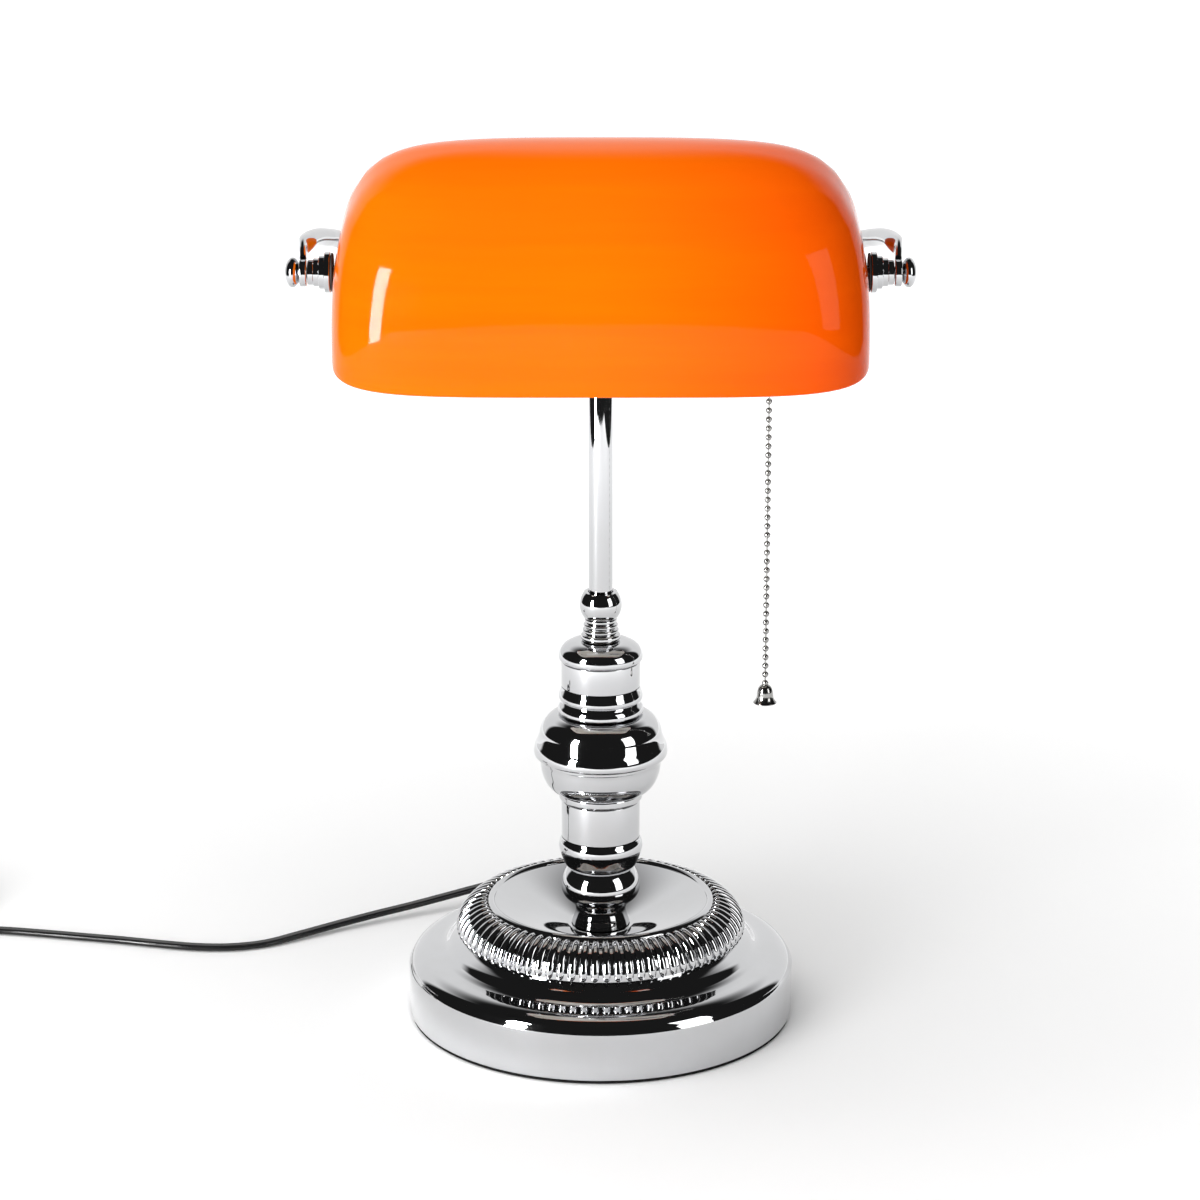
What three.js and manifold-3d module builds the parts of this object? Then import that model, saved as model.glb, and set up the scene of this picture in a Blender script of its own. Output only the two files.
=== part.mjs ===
// A banker's desk lamp: a weighted round base with a gadrooned collar, a turned column, a thin stem,
// a two-armed yoke and a cased-glass shade that tilts between two knobs. Millimetres, +Z up, the
// origin at the middle of the underside, the front of the lamp towards -Y.
import * as THREE from "three";
import { mergeVertices } from "three/addons/utils/BufferGeometryUtils.js";
import Module from "manifold-3d";

const wasm = await Module();
wasm.setup();

// ---- driving sizes -------------------------------------------------------------------------------
const gap = 0.3; // left between pieces that touch, turn or are cut to fit
const columnSides = 20;
const baseSides = 36;
const smallSides = 16;

const base = {
  radius: 85.1, // of the plain wall
  wallHeight: 22.6,
  sheet: 1.4, // wall of the spun cover
  padThickness: 1.2,
  padInset: 1.1, // how far the pad stays inside the wall
  plateThickness: 1.6,
  shoulderRise: 6.2, // of the round shoulder above the wall
  shoulderDepth: 9.5, // how far the shoulder comes in
  gadroonRadius: 64.2, // at the tips of the ribs
  gadroonFoot: 38, // height of the rib tips
  rimRadius: 48.6, // of the top plate
  rimHeight: 52.6,
  dishRadius: 14.5, // flat seat of the column at the bottom of the dish
  dishHeight: 40.2,
};

const weight = { radius: 74, height: 15, recessRadius: 13, recessDepth: 8.5 };

const rod = { radius: 4.75, bore: 3.4, below: 6 }; // threaded pipe that clamps the column

const column = {
  radius: 17.2, // of both plain cylinders
  ringRadius: 18.3,
  vaseRadius: 29.25,
  footRadius: 12.9,
  neckRadius: 11.1,
  bulbRadius: 17.4,
  footHeight: 26.6,
  cupHeight: 14.4,
  lowerHeight: 17.2,
  lowerVaseHeight: 20,
  upperVaseHeight: 19.8,
  ringHeight: 12.4,
  upperHeight: 11.6,
  capHeight: 9.1,
};

const stem = {
  radius: 5.2,
  wall: 0.9,
  collarRadius: 8.6,
  collarHeight: 10,
  ballRadius: 9.2,
  ballHeight: 11.6,
};

const hub = { radius: 9, height: 12, belowPivot: 44 }; // its middle is this far below the pivot
const nut = { acrossCorners: 15, height: 3.6 };
const washerThickness = 1.2;
const nippleRadius = 4.6;

const pivotHeight = 333;
const shade = {
  halfLength: 112.5,
  halfDepth: 65,
  height: 84.5,
  glass: 3,
  lipBelowPivot: 29,
  restTilt: 11, // degrees, front lip down
};

const arm = { radius: 4, eyeRadius: 6, eyeThickness: 3, eyeBehindGlass: 11.3 };
const stud = { radius: 2.2 };
const knob = { radius: 6.4, length: 6.1 };

const socket = {
  radius: 15,
  wall: 1.2,
  mouth: 46, // where the shell opens, towards the left
  length: 33.7,
  capLength: 13.4,
  belowPivot: 8,
};
const bracket = { thickness: 2.5, width: 14 };
const bulb = { radius: 15, wall: 1, length: 105, capRadius: 13, capLength: 24, capInside: 19 };

const chain = {
  x: 71.6, // off the lamp's axis
  beadRadius: 1.4,
  bellRadius: 5.15,
  bellDome: 3.45,
  bellHeight: 8.6,
  bellBottom: 142.4,
  guideHeight: 6.4,
  guideRadius: 4.2,
  slotRadius: 4.6, // of the hole in the strap that it hangs through
};

const cord = { radius: 1.4, exitHeight: 12, reliefLength: 25, reliefRadius: 4.6, reliefTip: 3.3 };
const coil = { x: -333, y: 117.6, inner: 23.4, outer: 34.8, height: 12, turnRadius: 31.6 };
const plug = { width: 25, height: 15, length: 28, neck: 12, x: -388, y: 85 }; // x of the cord's end
const prong = { spread: 12.7, length: 17, height: 6.3, thickness: 1.5 };

// ---- helpers -------------------------------------------------------------------------------------
const lamp = new THREE.Group();

function finish(color, roughness, metalness) {
  return () => new THREE.MeshStandardMaterial({ color, roughness, metalness });
}
const chrome = finish(0xd4d6da, 0.06, 1);
const bladeBrass = finish(0xc9a45c, 0.3, 1);
const steel = finish(0x9a9da2, 0.4, 1);
const iron = finish(0x3a3a3c, 0.75, 0.6);
const felt = finish(0x141414, 0.95, 0);
const rubber = finish(0x161616, 0.6, 0);
const orangeGlass = finish(0xe85f05, 0.08, 0);
const opalGlass = finish(0xf2efe8, 0.25, 0);
const phenolic = finish(0x1d1a18, 0.5, 0);

function place(parent, name, geometry, material) {
  const mesh = new THREE.Mesh(geometry, material());
  mesh.name = name;
  parent.add(mesh);
  return mesh;
}

// Turns every triangle round if the closed geometry faces inwards.
function facingOut(geometry) {
  const flat = geometry.index ? geometry.toNonIndexed() : geometry;
  const p = flat.getAttribute("position");
  const [a, b, c] = [new THREE.Vector3(), new THREE.Vector3(), new THREE.Vector3()];
  let volume = 0;
  for (let i = 0; i < p.count; i += 3) {
    a.fromBufferAttribute(p, i);
    b.fromBufferAttribute(p, i + 1);
    c.fromBufferAttribute(p, i + 2);
    volume += a.dot(b.cross(c));
  }
  if (volume >= 0) return flat;
  const turned = p.array.slice();
  for (let i = 0; i < turned.length; i += 9)
    for (let k = 0; k < 3; k++)
      [turned[i + 3 + k], turned[i + 6 + k]] = [turned[i + 6 + k], turned[i + 3 + k]];
  return new THREE.BufferGeometry().setAttribute("position", new THREE.BufferAttribute(turned, 3));
}

// A solid of revolution about Z from [radius, height] pairs.
function turned(profile, sides = columnSides) {
  const points = profile.map(([r, z]) => new THREE.Vector2(r, z));
  return facingOut(new THREE.LatheGeometry(points, sides).rotateX(Math.PI / 2));
}

// The same about X, so that the pairs are [radius, x].
function turnedAboutX(profile, sides = smallSides) {
  return turned(profile, sides).rotateY(Math.PI / 2);
}

// About X on the left (-1) or the right (1) of the lamp, the pairs given for the right.
function onSide(side, profile, sides) {
  return facingOut(turnedAboutX(profile, sides).scale(side, 1, 1));
}

// A plain round bar as a profile.
function bar(radius, low, high) {
  return [[0, low], [radius, low], [radius, high], [0, high]];
}

// A ring or a pipe: the pairs close on themselves.
function ring(inner, outer, low, high) {
  return [[inner, low], [outer, low], [outer, high], [inner, high], [inner, low]];
}

// A turned piece with a bore: the outer line from bottom to top, closed along the bore.
function bored(outline, bore) {
  const low = outline[0][1];
  const high = outline[outline.length - 1][1];
  return [[bore, low], ...outline, [bore, high], [bore, low]];
}

function arc(centreR, centreZ, radiusR, radiusZ, from, to, steps) {
  const points = [];
  for (let i = 0; i <= steps; i++) {
    const angle = THREE.MathUtils.degToRad(from + ((to - from) * i) / steps);
    points.push([centreR + radiusR * Math.cos(angle), centreZ + radiusZ * Math.sin(angle)]);
  }
  return points;
}

function solidOf(geometry) {
  const plain = geometry.clone();
  plain.deleteAttribute("normal");
  plain.deleteAttribute("uv");
  const merged = mergeVertices(plain, 1e-4);
  return new wasm.Manifold(
    new wasm.Mesh({
      numProp: 3,
      vertProperties: merged.attributes.position.array,
      triVerts: new Uint32Array(merged.index.array),
    }),
  );
}

function geometryOf(solid) {
  const mesh = solid.getMesh();
  const geometry = new THREE.BufferGeometry();
  geometry.setAttribute("position", new THREE.BufferAttribute(mesh.vertProperties, 3));
  geometry.setIndex(new THREE.BufferAttribute(mesh.triVerts, 1));
  return geometry;
}

function hexNut(corners, height, bore) {
  const shape = new THREE.Shape();
  for (let i = 0; i < 6; i++) {
    const angle = (i * Math.PI) / 3;
    const corner = [(corners / 2) * Math.cos(angle), (corners / 2) * Math.sin(angle)];
    if (i === 0) shape.moveTo(...corner);
    else shape.lineTo(...corner);
  }
  shape.closePath();
  shape.holes.push(new THREE.Path().absarc(0, 0, bore, 0, 2 * Math.PI, true));
  return new THREE.ExtrudeGeometry(shape, { depth: height, bevelEnabled: false, curveSegments: 8 });
}

function tubeAlong(points, radius, sides, steps) {
  const curve = new THREE.CatmullRomCurve3(points.map((p) => new THREE.Vector3(...p)));
  const section = new THREE.Shape();
  for (let i = 0; i < sides; i++) {
    const angle = (i * 2 * Math.PI) / sides;
    const corner = [radius * Math.cos(angle), radius * Math.sin(angle)];
    if (i === 0) section.moveTo(...corner);
    else section.lineTo(...corner);
  }
  section.closePath();
  const options = { steps, extrudePath: curve, bevelEnabled: false };
  return facingOut(new THREE.ExtrudeGeometry(section, options));
}

// ---- base ----------------------------------------------------------------------------------------
const coverBottom = base.padThickness + gap;
const plateTop = coverBottom + base.plateThickness;
const weightBottom = plateTop + gap;
const shoulderTop = base.wallHeight + base.shoulderRise;
const reliefY = base.radius - base.sheet;

// Outside line of the spun cover, from the foot of the wall to the seat of the column.
function coverOutline() {
  const innerShoulder = base.radius - base.shoulderDepth;
  const rise = base.rimHeight - base.gadroonFoot;
  const reach = base.gadroonRadius - base.rimRadius;
  return [
    [base.radius, coverBottom],
    [base.radius, base.wallHeight],
    [base.radius - 0.6, base.wallHeight + 0.4],
    ...arc(innerShoulder, base.wallHeight, base.shoulderDepth - 0.6, base.shoulderRise, 15, 80, 4),
    [innerShoulder - 4, shoulderTop + 0.8],
    [base.gadroonRadius + 3.2, base.gadroonFoot - 5.4],
    [base.gadroonRadius - 0.8, base.gadroonFoot - 1.6],
    ...arc(base.rimRadius, base.gadroonFoot, reach, rise - 0.4, 0, 84, 6),
    [base.rimRadius, base.rimHeight],
    [base.rimRadius - 2.4, base.rimHeight - 0.9],
    [base.dishRadius, base.dishHeight],
    [rod.radius + gap, base.dishHeight],
  ];
}

// The same line moved inwards by the sheet's thickness, along each corner's mean normal.
function inset(outline, thickness) {
  return outline.map(([r, z], i) => {
    const before = outline[Math.max(i - 1, 0)];
    const after = outline[Math.min(i + 1, outline.length - 1)];
    const [dr, dz] = [after[0] - before[0], after[1] - before[1]];
    const length = Math.hypot(dr, dz);
    const end = i === outline.length - 1 || i === 0;
    const [nr, nz] = end ? [i === 0 ? -1 : 0, i === 0 ? 0 : -1] : [-dz / length, dr / length];
    return [r + nr * thickness, z + nz * thickness];
  });
}

function baseCover() {
  const outer = coverOutline();
  const inner = inset(outer, base.sheet).reverse();
  const shell = solidOf(turned([...outer, ...inner, outer[0]], baseSides));
  const cut = turned(bar(cord.reliefRadius - 1 + gap, -base.sheet, base.sheet * 4), smallSides)
    .rotateX(-Math.PI / 2)
    .translate(0, base.radius - base.sheet, cord.exitHeight);
  return geometryOf(shell.subtract(solidOf(cut)));
}

function baseWeight() {
  const top = weightBottom + weight.height;
  const bore = rod.radius + gap;
  return turned(
    [
      [bore, weightBottom + weight.recessDepth],
      [weight.recessRadius, weightBottom + weight.recessDepth],
      [weight.recessRadius, weightBottom],
      [weight.radius, weightBottom],
      [weight.radius, top - 4],
      [weight.radius - 6, top],
      [bore, top],
      [bore, weightBottom + weight.recessDepth],
    ],
    baseSides,
  );
}

// The tapered strain relief: a flange inside the wall, a neck in its hole, and the taper outside.
function strainRelief() {
  const neck = cord.reliefRadius - 1;
  const seat = 0.9; // the flange is flat and the wall is round
  const tip = cord.reliefLength + base.sheet;
  const profile = [
    [0, -2.6],
    [cord.reliefRadius + 1, -2.6],
    [cord.reliefRadius + 1, -seat],
    [neck, -seat],
    [neck, base.sheet + 1.4],
    [cord.reliefRadius, base.sheet + 1.4],
    [cord.reliefRadius, base.sheet + 4],
    [cord.reliefTip, tip - 1],
    [cord.reliefTip - 0.6, tip],
    [0, tip],
  ];
  return turned(profile, smallSides).rotateX(-Math.PI / 2).translate(0, reliefY, cord.exitHeight);
}

const rodBottom = rod.below;
const nutTop = weightBottom + weight.recessDepth - gap - washerThickness - gap;

place(lamp, "foot_pad", turned(bar(base.radius - base.padInset, 0, base.padThickness), baseSides), felt);
const plateRadius = base.radius - base.sheet - gap;
place(lamp, "base_plate", turned(bar(plateRadius, coverBottom, plateTop), baseSides), steel);
place(lamp, "base_weight", baseWeight(), iron);
place(lamp, "base_cover", baseCover(), chrome);
place(
  lamp,
  "base_washer",
  turned(ring(rod.radius + gap, 11.5, nutTop + gap, nutTop + gap + washerThickness), smallSides),
  steel,
);
place(
  lamp,
  "base_nut",
  hexNut(nut.acrossCorners + 3, nut.height, rod.radius + gap).translate(0, 0, nutTop - nut.height),
  steel,
);
place(lamp, "cord_strain_relief", strainRelief(), rubber);

// ---- column --------------------------------------------------------------------------------------
const rodBore = rod.radius + gap;
const footBottom = base.dishHeight + gap;
const cupBottom = footBottom + column.footHeight;
const lowerBottom = cupBottom + column.cupHeight;
const lowerVaseBottom = lowerBottom + column.lowerHeight;
const upperVaseBottom = lowerVaseBottom + column.lowerVaseHeight;
const ringBottom = upperVaseBottom + column.upperVaseHeight;
const upperBottom = ringBottom + column.ringHeight;
const capBottom = upperBottom + column.upperHeight;
const collarBottom = capBottom + column.capHeight;
const ballBottom = collarBottom + stem.collarHeight;
const tubeBottom = ballBottom + stem.ballHeight / 2;
const rodTop = tubeBottom - 2 * gap;
const hubMiddle = pivotHeight - hub.belowPivot;
const hubBottom = hubMiddle - hub.height / 2;
const hubTop = hubMiddle + hub.height / 2;

function columnFoot() {
  const top = cupBottom - gap;
  const equator = footBottom + 0.62 * column.footHeight;
  return turned(
    bored(
      [
        [column.footRadius, footBottom],
        [column.footRadius - 1, footBottom + 1.6],
        [column.neckRadius, footBottom + 6.5],
        ...arc(column.neckRadius, equator, column.bulbRadius - column.neckRadius, 9, -75, 0, 4),
        ...arc(14.2, equator, column.bulbRadius - 14.2, top - equator, 25, 90, 3),
      ],
      rodBore,
    ),
  );
}

function columnCup() {
  const top = lowerBottom - gap;
  return turned(
    bored(
      [
        [14.6, cupBottom],
        [16.2, cupBottom + 2.4],
        [17.3, cupBottom + 5.3],
        [column.ringRadius - 0.2, cupBottom + 7.9],
        [column.ringRadius + 0.1, cupBottom + 9.7],
        [column.ringRadius, cupBottom + 10.9],
        [column.ringRadius - 0.3, top - 1.8],
        [column.ringRadius - 0.9, top - 0.6],
        [column.radius, top],
      ],
      rodBore,
    ),
  );
}

function lowerVase() {
  const top = upperVaseBottom - gap;
  const bowl = lowerVaseBottom + 5;
  const widest = column.vaseRadius - 2.8;
  return turned(
    bored(
      [
        [column.ringRadius - 0.8, lowerVaseBottom],
        [column.ringRadius, lowerVaseBottom + 0.8],
        [column.ringRadius, lowerVaseBottom + 3.2],
        [column.ringRadius - 0.4, lowerVaseBottom + 4],
        ...arc(column.ringRadius - 0.4, top - 1.6, widest - column.ringRadius + 0.4, top - bowl, -86, 0, 5),
        [widest + 0.4, top],
      ],
      rodBore,
    ),
  );
}

function upperVase() {
  const top = ringBottom - gap;
  const low = upperVaseBottom;
  const wide = column.vaseRadius;
  return turned(
    bored(
      [
        [wide - 1.9, low],
        [wide - 0.5, low + 0.6],
        [wide, low + 1.8],
        [wide - 0.1, low + 3.4],
        [wide - 0.6, low + 5.6],
        [wide - 1.5, low + 7.4],
        ...arc(column.ringRadius, low + 9.2, wide - 2.4 - column.ringRadius, top - low - 9.2, 8, 90, 5),
      ],
      rodBore,
    ),
  );
}

// Two rings one over the other, each widest near its foot and rounded in towards its top.
function columnRings() {
  const top = upperBottom - gap;
  const half = (top - ringBottom) / 2;
  const deep = column.radius - 0.1;
  const bead = (low, wide) => [
    [deep + 0.3, low],
    [wide - 0.1, low + 0.12 * half],
    [wide, low + 0.35 * half],
    [wide - 0.4, low + 0.6 * half],
    [deep + 0.3, low + 0.82 * half],
    [deep, low + 0.96 * half],
  ];
  const outline = [
    ...bead(ringBottom, column.ringRadius + 0.4),
    ...bead(ringBottom + half, column.ringRadius),
  ];
  return turned(bored([...outline, [deep, top]], rodBore));
}

function columnCap() {
  const top = collarBottom - gap;
  const inner = stem.collarRadius + 0.6;
  return turned(
    bored(
      [
        [column.ringRadius - 0.9, capBottom],
        [column.ringRadius - 0.1, capBottom + 0.8],
        [column.ringRadius, capBottom + 2.1],
        [column.ringRadius - 0.3, capBottom + 3.8],
        [column.ringRadius - 1.1, capBottom + 5.4],
        [column.ringRadius - 2.5, capBottom + 6.8],
        [column.ringRadius - 4.5, capBottom + 7.9],
        [inner, top],
      ],
      rodBore,
    ),
  );
}

function stemCollar() {
  const top = ballBottom - gap;
  const r = stem.collarRadius;
  return turned(
    bored(
      [
        [r - 0.4, collarBottom],
        [r, collarBottom + 0.6],
        [r, collarBottom + 2.6],
        [r - 1.3, collarBottom + 3.2],
        [r - 0.7, collarBottom + 3.8],
        [r - 0.7, collarBottom + 5],
        [r - 1.8, collarBottom + 5.6],
        [r - 1.1, collarBottom + 6.3],
        [r - 1.1, collarBottom + 7.2],
        [r - 2.1, collarBottom + 7.8],
        [r - 1.5, collarBottom + 8.6],
        [r - 1.6, top],
      ],
      rodBore,
    ),
  );
}

// The ball is bored for the rod from below and for the tube from above.
function stemBall() {
  const cut = (Math.asin(stem.ballHeight / 2 / stem.ballRadius) * 180) / Math.PI;
  const outline = arc(0, tubeBottom, stem.ballRadius, stem.ballRadius, -cut, cut, 8);
  const [low, high] = [outline[0][1], outline[outline.length - 1][1]];
  const tubeBore = stem.radius + gap;
  const ledge = tubeBottom - gap;
  const bores = [[tubeBore, high], [tubeBore, ledge], [rodBore, ledge], [rodBore, low]];
  return turned([[rodBore, low], ...outline, ...bores]);
}

place(lamp, "threaded_rod", turned(ring(rod.bore, rod.radius, rodBottom, rodTop), smallSides), steel);
place(lamp, "column_foot", columnFoot(), chrome);
place(lamp, "column_cup", columnCup(), chrome);
place(lamp, "lower_column", turned(ring(rodBore, column.radius, lowerBottom, lowerVaseBottom - gap)), chrome);
place(lamp, "lower_vase", lowerVase(), chrome);
place(lamp, "upper_vase", upperVase(), chrome);
place(lamp, "column_rings", columnRings(), chrome);
place(lamp, "upper_column", turned(ring(rodBore, column.radius, upperBottom, capBottom - gap)), chrome);
place(lamp, "column_cap", columnCap(), chrome);
place(lamp, "stem_collar", stemCollar(), chrome);
place(lamp, "stem_ball", stemBall(), chrome);
const stemProfile = ring(stem.radius - stem.wall, stem.radius, tubeBottom, hubMiddle);
place(lamp, "stem_tube", turned(stemProfile, columnSides), chrome);

// ---- yoke ----------------------------------------------------------------------------------------
const seatRadius = 8.2; // of the washers against the glass
// How far out the glass reaches at a height over or under the pivot: outside, or inside.
function glassReach(above, inside) {
  const off = inside ? shade.glass : 0;
  const share = (shade.lipBelowPivot + above) / (shade.height - off);
  return (shade.halfLength - off) * Math.pow(1 - Math.pow(share, 3), 1 / 6);
}
const glassEnd = glassReach(-seatRadius, false);
const eyeInner = glassEnd + arm.eyeBehindGlass;
const eyeMiddle = eyeInner + arm.eyeThickness / 2;
const eyeOuter = eyeInner + arm.eyeThickness;
const bracketBottom = hubTop + gap;
const bracketTop = bracketBottom + bracket.thickness;
const hubNutBottom = bracketTop + gap;
const behind = shade.halfDepth; // the arms pass behind the glass, so their line follows its depth

// Half of the yoke: back from the hub, up behind the glass, round its end and down to the eye.
function yokeArm(side) {
  const z = pivotHeight;
  const leaving = THREE.MathUtils.degToRad(55); // from the sideways axis, seen from above
  const from = (r, height) => [r * Math.cos(leaving), r * Math.sin(leaving), height];
  const line = [
    from(hub.radius + gap + 0.1, hubMiddle),
    from(hub.radius + 6, hubMiddle - 0.8),
    [14.5, behind * 0.37, hubMiddle - 7],
    [25, behind * 0.65, z - 53],
    [40, behind, z - 50],
    [60, behind + 12.4, z - 36],
    [eyeMiddle - 45, behind + 15.6, z - 17],
    [eyeMiddle - 24, behind + 9.6, z - 4],
    [eyeMiddle - 10.5, behind * 0.88, z + 3.4],
    [eyeMiddle - 6.3, behind * 0.68, z + 6.6],
    [eyeMiddle - 3, behind * 0.49, z + 8.8],
    [eyeMiddle - 0.5, behind * 0.29, z + 9.6],
    [eyeMiddle + 0.5, behind * 0.14, z + 8.8],
    [eyeMiddle + 0.3, behind * 0.06, z + 7],
    [eyeMiddle, behind * 0.015, z + 4.6],
  ].map(([x, y, height]) => [side * x, y, height]);
  const rodSolid = solidOf(tubeAlong(line, arm.radius, 8, 46));
  const disc = (radius, low, high, sides) =>
    solidOf(onSide(side, bar(radius, low, high), sides).translate(0, 0, pivotHeight));
  const eye = disc(arm.eyeRadius, eyeInner, eyeOuter, 20);
  const bore = disc(stud.radius + gap, eyeInner - 9, eyeOuter + 9, 12);
  const clear = disc(arm.eyeRadius + 5, eyeInner - 12, eyeInner, 20);
  const outside = disc(arm.eyeRadius + 5, eyeOuter, eyeOuter + 12, 20);
  return geometryOf(rodSolid.subtract(clear).subtract(outside).add(eye).subtract(bore));
}

const hubProfile = [
  [hub.radius - 1.2, hubBottom],
  [hub.radius, hubBottom + 1.2],
  [hub.radius, hubTop - 1.2],
  [hub.radius - 1.2, hubTop],
];
place(lamp, "yoke_hub", turned(bored(hubProfile, stem.radius + gap), smallSides), chrome);
place(
  lamp,
  "hub_nipple",
  turned(ring(rod.bore, nippleRadius, hubMiddle + gap, hubNutBottom + nut.height + 2), smallSides),
  steel,
);
place(
  lamp,
  "hub_nut",
  hexNut(nut.acrossCorners, nut.height, nippleRadius + gap).translate(0, 0, hubNutBottom),
  steel,
);
place(lamp, "left_arm", yokeArm(-1), chrome);
place(lamp, "right_arm", yokeArm(1), chrome);

// ---- lampholder and bulb -------------------------------------------------------------------------
const socketAxis = pivotHeight - socket.belowPivot;
const shellEnd = socket.mouth + socket.length;
const capStart = shellEnd + gap;
const capEnd = capStart + socket.capLength;
const uprightStart = capEnd + gap;
const uprightEnd = uprightStart + bracket.thickness;
const socketNutStart = uprightEnd + gap;

// The strap that carries the lampholder: flat on the hub, then turned up at its outer end.
function socketBracket() {
  const [t, h] = [bracket.thickness, socketAxis + bracket.width / 2];
  const outline = new THREE.Shape();
  outline.moveTo(-bracket.width / 2, bracketBottom);
  outline.lineTo(uprightEnd, bracketBottom);
  outline.lineTo(uprightEnd, h);
  outline.lineTo(uprightStart, h);
  outline.lineTo(uprightStart, bracketBottom + t);
  outline.lineTo(-bracket.width / 2, bracketBottom + t);
  outline.closePath();
  const strap = new THREE.ExtrudeGeometry(outline, { depth: bracket.width, bevelEnabled: false })
    .translate(0, 0, -bracket.width / 2)
    .rotateX(Math.PI / 2);
  const hubHole = turned(bar(nippleRadius + gap, bracketBottom - 2, bracketTop + 2), smallSides);
  const chainHole = turned(bar(chain.slotRadius, bracketBottom - 2, bracketTop + 2), smallSides);
  chainHole.translate(chain.x, 0, 0);
  const sideHole = turnedAboutX(bar(nippleRadius + gap, uprightStart - 2, uprightEnd + 2));
  sideHole.translate(0, 0, socketAxis);
  const holes = solidOf(hubHole).add(solidOf(chainHole)).add(solidOf(sideHole));
  return geometryOf(solidOf(strap).subtract(holes));
}

function aboutSocket(profile, sides = columnSides) {
  return turnedAboutX(profile, sides).translate(0, 0, socketAxis);
}

function socketShell() {
  const shell = solidOf(aboutSocket(ring(socket.radius - socket.wall, socket.radius, socket.mouth, shellEnd)));
  const hole = turned(bar(1.8, socketAxis - socket.radius - 2, socketAxis - 4), smallSides);
  hole.translate(chain.x, 0, 0);
  return geometryOf(shell.subtract(solidOf(hole)));
}

const insulatorStart = socket.mouth + bulb.capInside + 1;
const linkRadius = 1.2;
function socketInsulator() {
  const block = solidOf(aboutSocket(bar(socket.radius - socket.wall - gap, insulatorStart, shellEnd - 1)));
  const slot = turned(bar(linkRadius + 0.8, socketAxis - socket.radius, socketAxis - 2), smallSides);
  slot.translate(chain.x, 0, 0);
  return geometryOf(block.subtract(solidOf(slot)));
}

place(lamp, "socket_bracket", socketBracket(), steel);
place(
  lamp,
  "socket_cap",
  aboutSocket(
    bored(
      [
        [socket.radius, capStart],
        [socket.radius, capStart + 3.4],
        [socket.radius - 1.4, capStart + 7],
        [socket.radius - 5, capStart + 11.4],
        [socket.radius - 5.6, capEnd],
      ],
      nippleRadius + gap,
    ),
  ),
  chrome,
);
place(lamp, "socket_shell", socketShell(), chrome);
place(lamp, "socket_insulator", socketInsulator(), phenolic);
place(
  lamp,
  "socket_nipple",
  aboutSocket(ring(rod.bore - 0.4, nippleRadius, capStart + 6, socketNutStart + nut.height + 0.6), smallSides),
  steel,
);
place(
  lamp,
  "socket_nut",
  hexNut(nut.acrossCorners, nut.height, nippleRadius + gap)
    .rotateY(Math.PI / 2)
    .translate(socketNutStart, 0, socketAxis),
  steel,
);

const bulbCapEnd = socket.mouth + bulb.capInside;
const bulbCapStart = bulbCapEnd - bulb.capLength;
const glassStart = bulbCapStart - gap;
const tip = glassStart - bulb.length;
place(
  lamp,
  "bulb_cap",
  aboutSocket([
    [0, bulbCapStart],
    [bulb.capRadius, bulbCapStart],
    [bulb.capRadius, bulbCapEnd - 6],
    [bulb.capRadius - 6, bulbCapEnd - 1],
    [0, bulbCapEnd - 1],
  ]),
  steel,
);
const outerTube = [
  [bulb.capRadius - 1, glassStart],
  [bulb.radius, glassStart - 6],
  ...arc(0, tip + bulb.radius, bulb.radius, bulb.radius, 0, -90, 5),
];
const innerTube = [
  ...arc(0, tip + bulb.radius, bulb.radius - bulb.wall, bulb.radius - bulb.wall, -90, 0, 5),
  [bulb.radius - bulb.wall, glassStart - 6],
  [bulb.capRadius - 1 - bulb.wall, glassStart],
];
place(lamp, "bulb_glass", aboutSocket([...innerTube, ...outerTube, innerTube[0]]), opalGlass);

// ---- pull switch ---------------------------------------------------------------------------------
const guideTop = socketAxis - socket.radius - gap;
const guideBottom = guideTop - chain.guideHeight;
const linkBottom = guideBottom - 3.4;
const chainTop = linkBottom - gap;
const bellTop = chain.bellBottom + chain.bellHeight;
const onChain = (profile, sides = 12) => turned(profile, sides).translate(chain.x, 0, 0);

place(
  lamp,
  "chain_guide",
  onChain(
    bored(
      [
        [chain.guideRadius, guideBottom],
        [chain.guideRadius - 1.2, guideBottom + 1.4],
        [chain.guideRadius - 1.2, guideTop - 2],
        [chain.guideRadius + 0.6, guideTop],
      ],
      1.7,
    ),
    smallSides,
  ),
  chrome,
);
place(
  lamp,
  "pull_link",
  onChain([
    [0, linkBottom],
    [linkRadius, linkBottom + 0.4],
    [linkRadius + 0.4, linkBottom + 1.4],
    [linkRadius - 0.2, linkBottom + 2.6],
    [linkRadius - 0.2, socketAxis - 4.5],
    [0, socketAxis - 4.5],
  ]),
  steel,
);
place(lamp, "bead_chain", onChain(bar(chain.beadRadius, bellTop + gap, chainTop), 8), chrome);
place(
  lamp,
  "chain_bell",
  onChain(
    [
      [0, chain.bellBottom + 4.6],
      [chain.bellDome - 1.2, chain.bellBottom + 3.2],
      [chain.bellRadius - 0.9, chain.bellBottom],
      [chain.bellRadius, chain.bellBottom + 0.3],
      [chain.bellRadius - 0.7, chain.bellBottom + 1.6],
      [chain.bellDome, chain.bellBottom + 4],
      [chain.bellDome - 0.7, chain.bellBottom + 6.8],
      [1.6, bellTop - 0.5],
      [0, bellTop],
    ],
    smallSides,
  ),
  chrome,
);

// ---- shade, in a group turned about the pivot ----------------------------------------------------
const shadeGroup = new THREE.Group();
shadeGroup.position.z = pivotHeight;
shadeGroup.rotation.x = THREE.MathUtils.degToRad(shade.restTilt);
lamp.add(shadeGroup);

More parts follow.
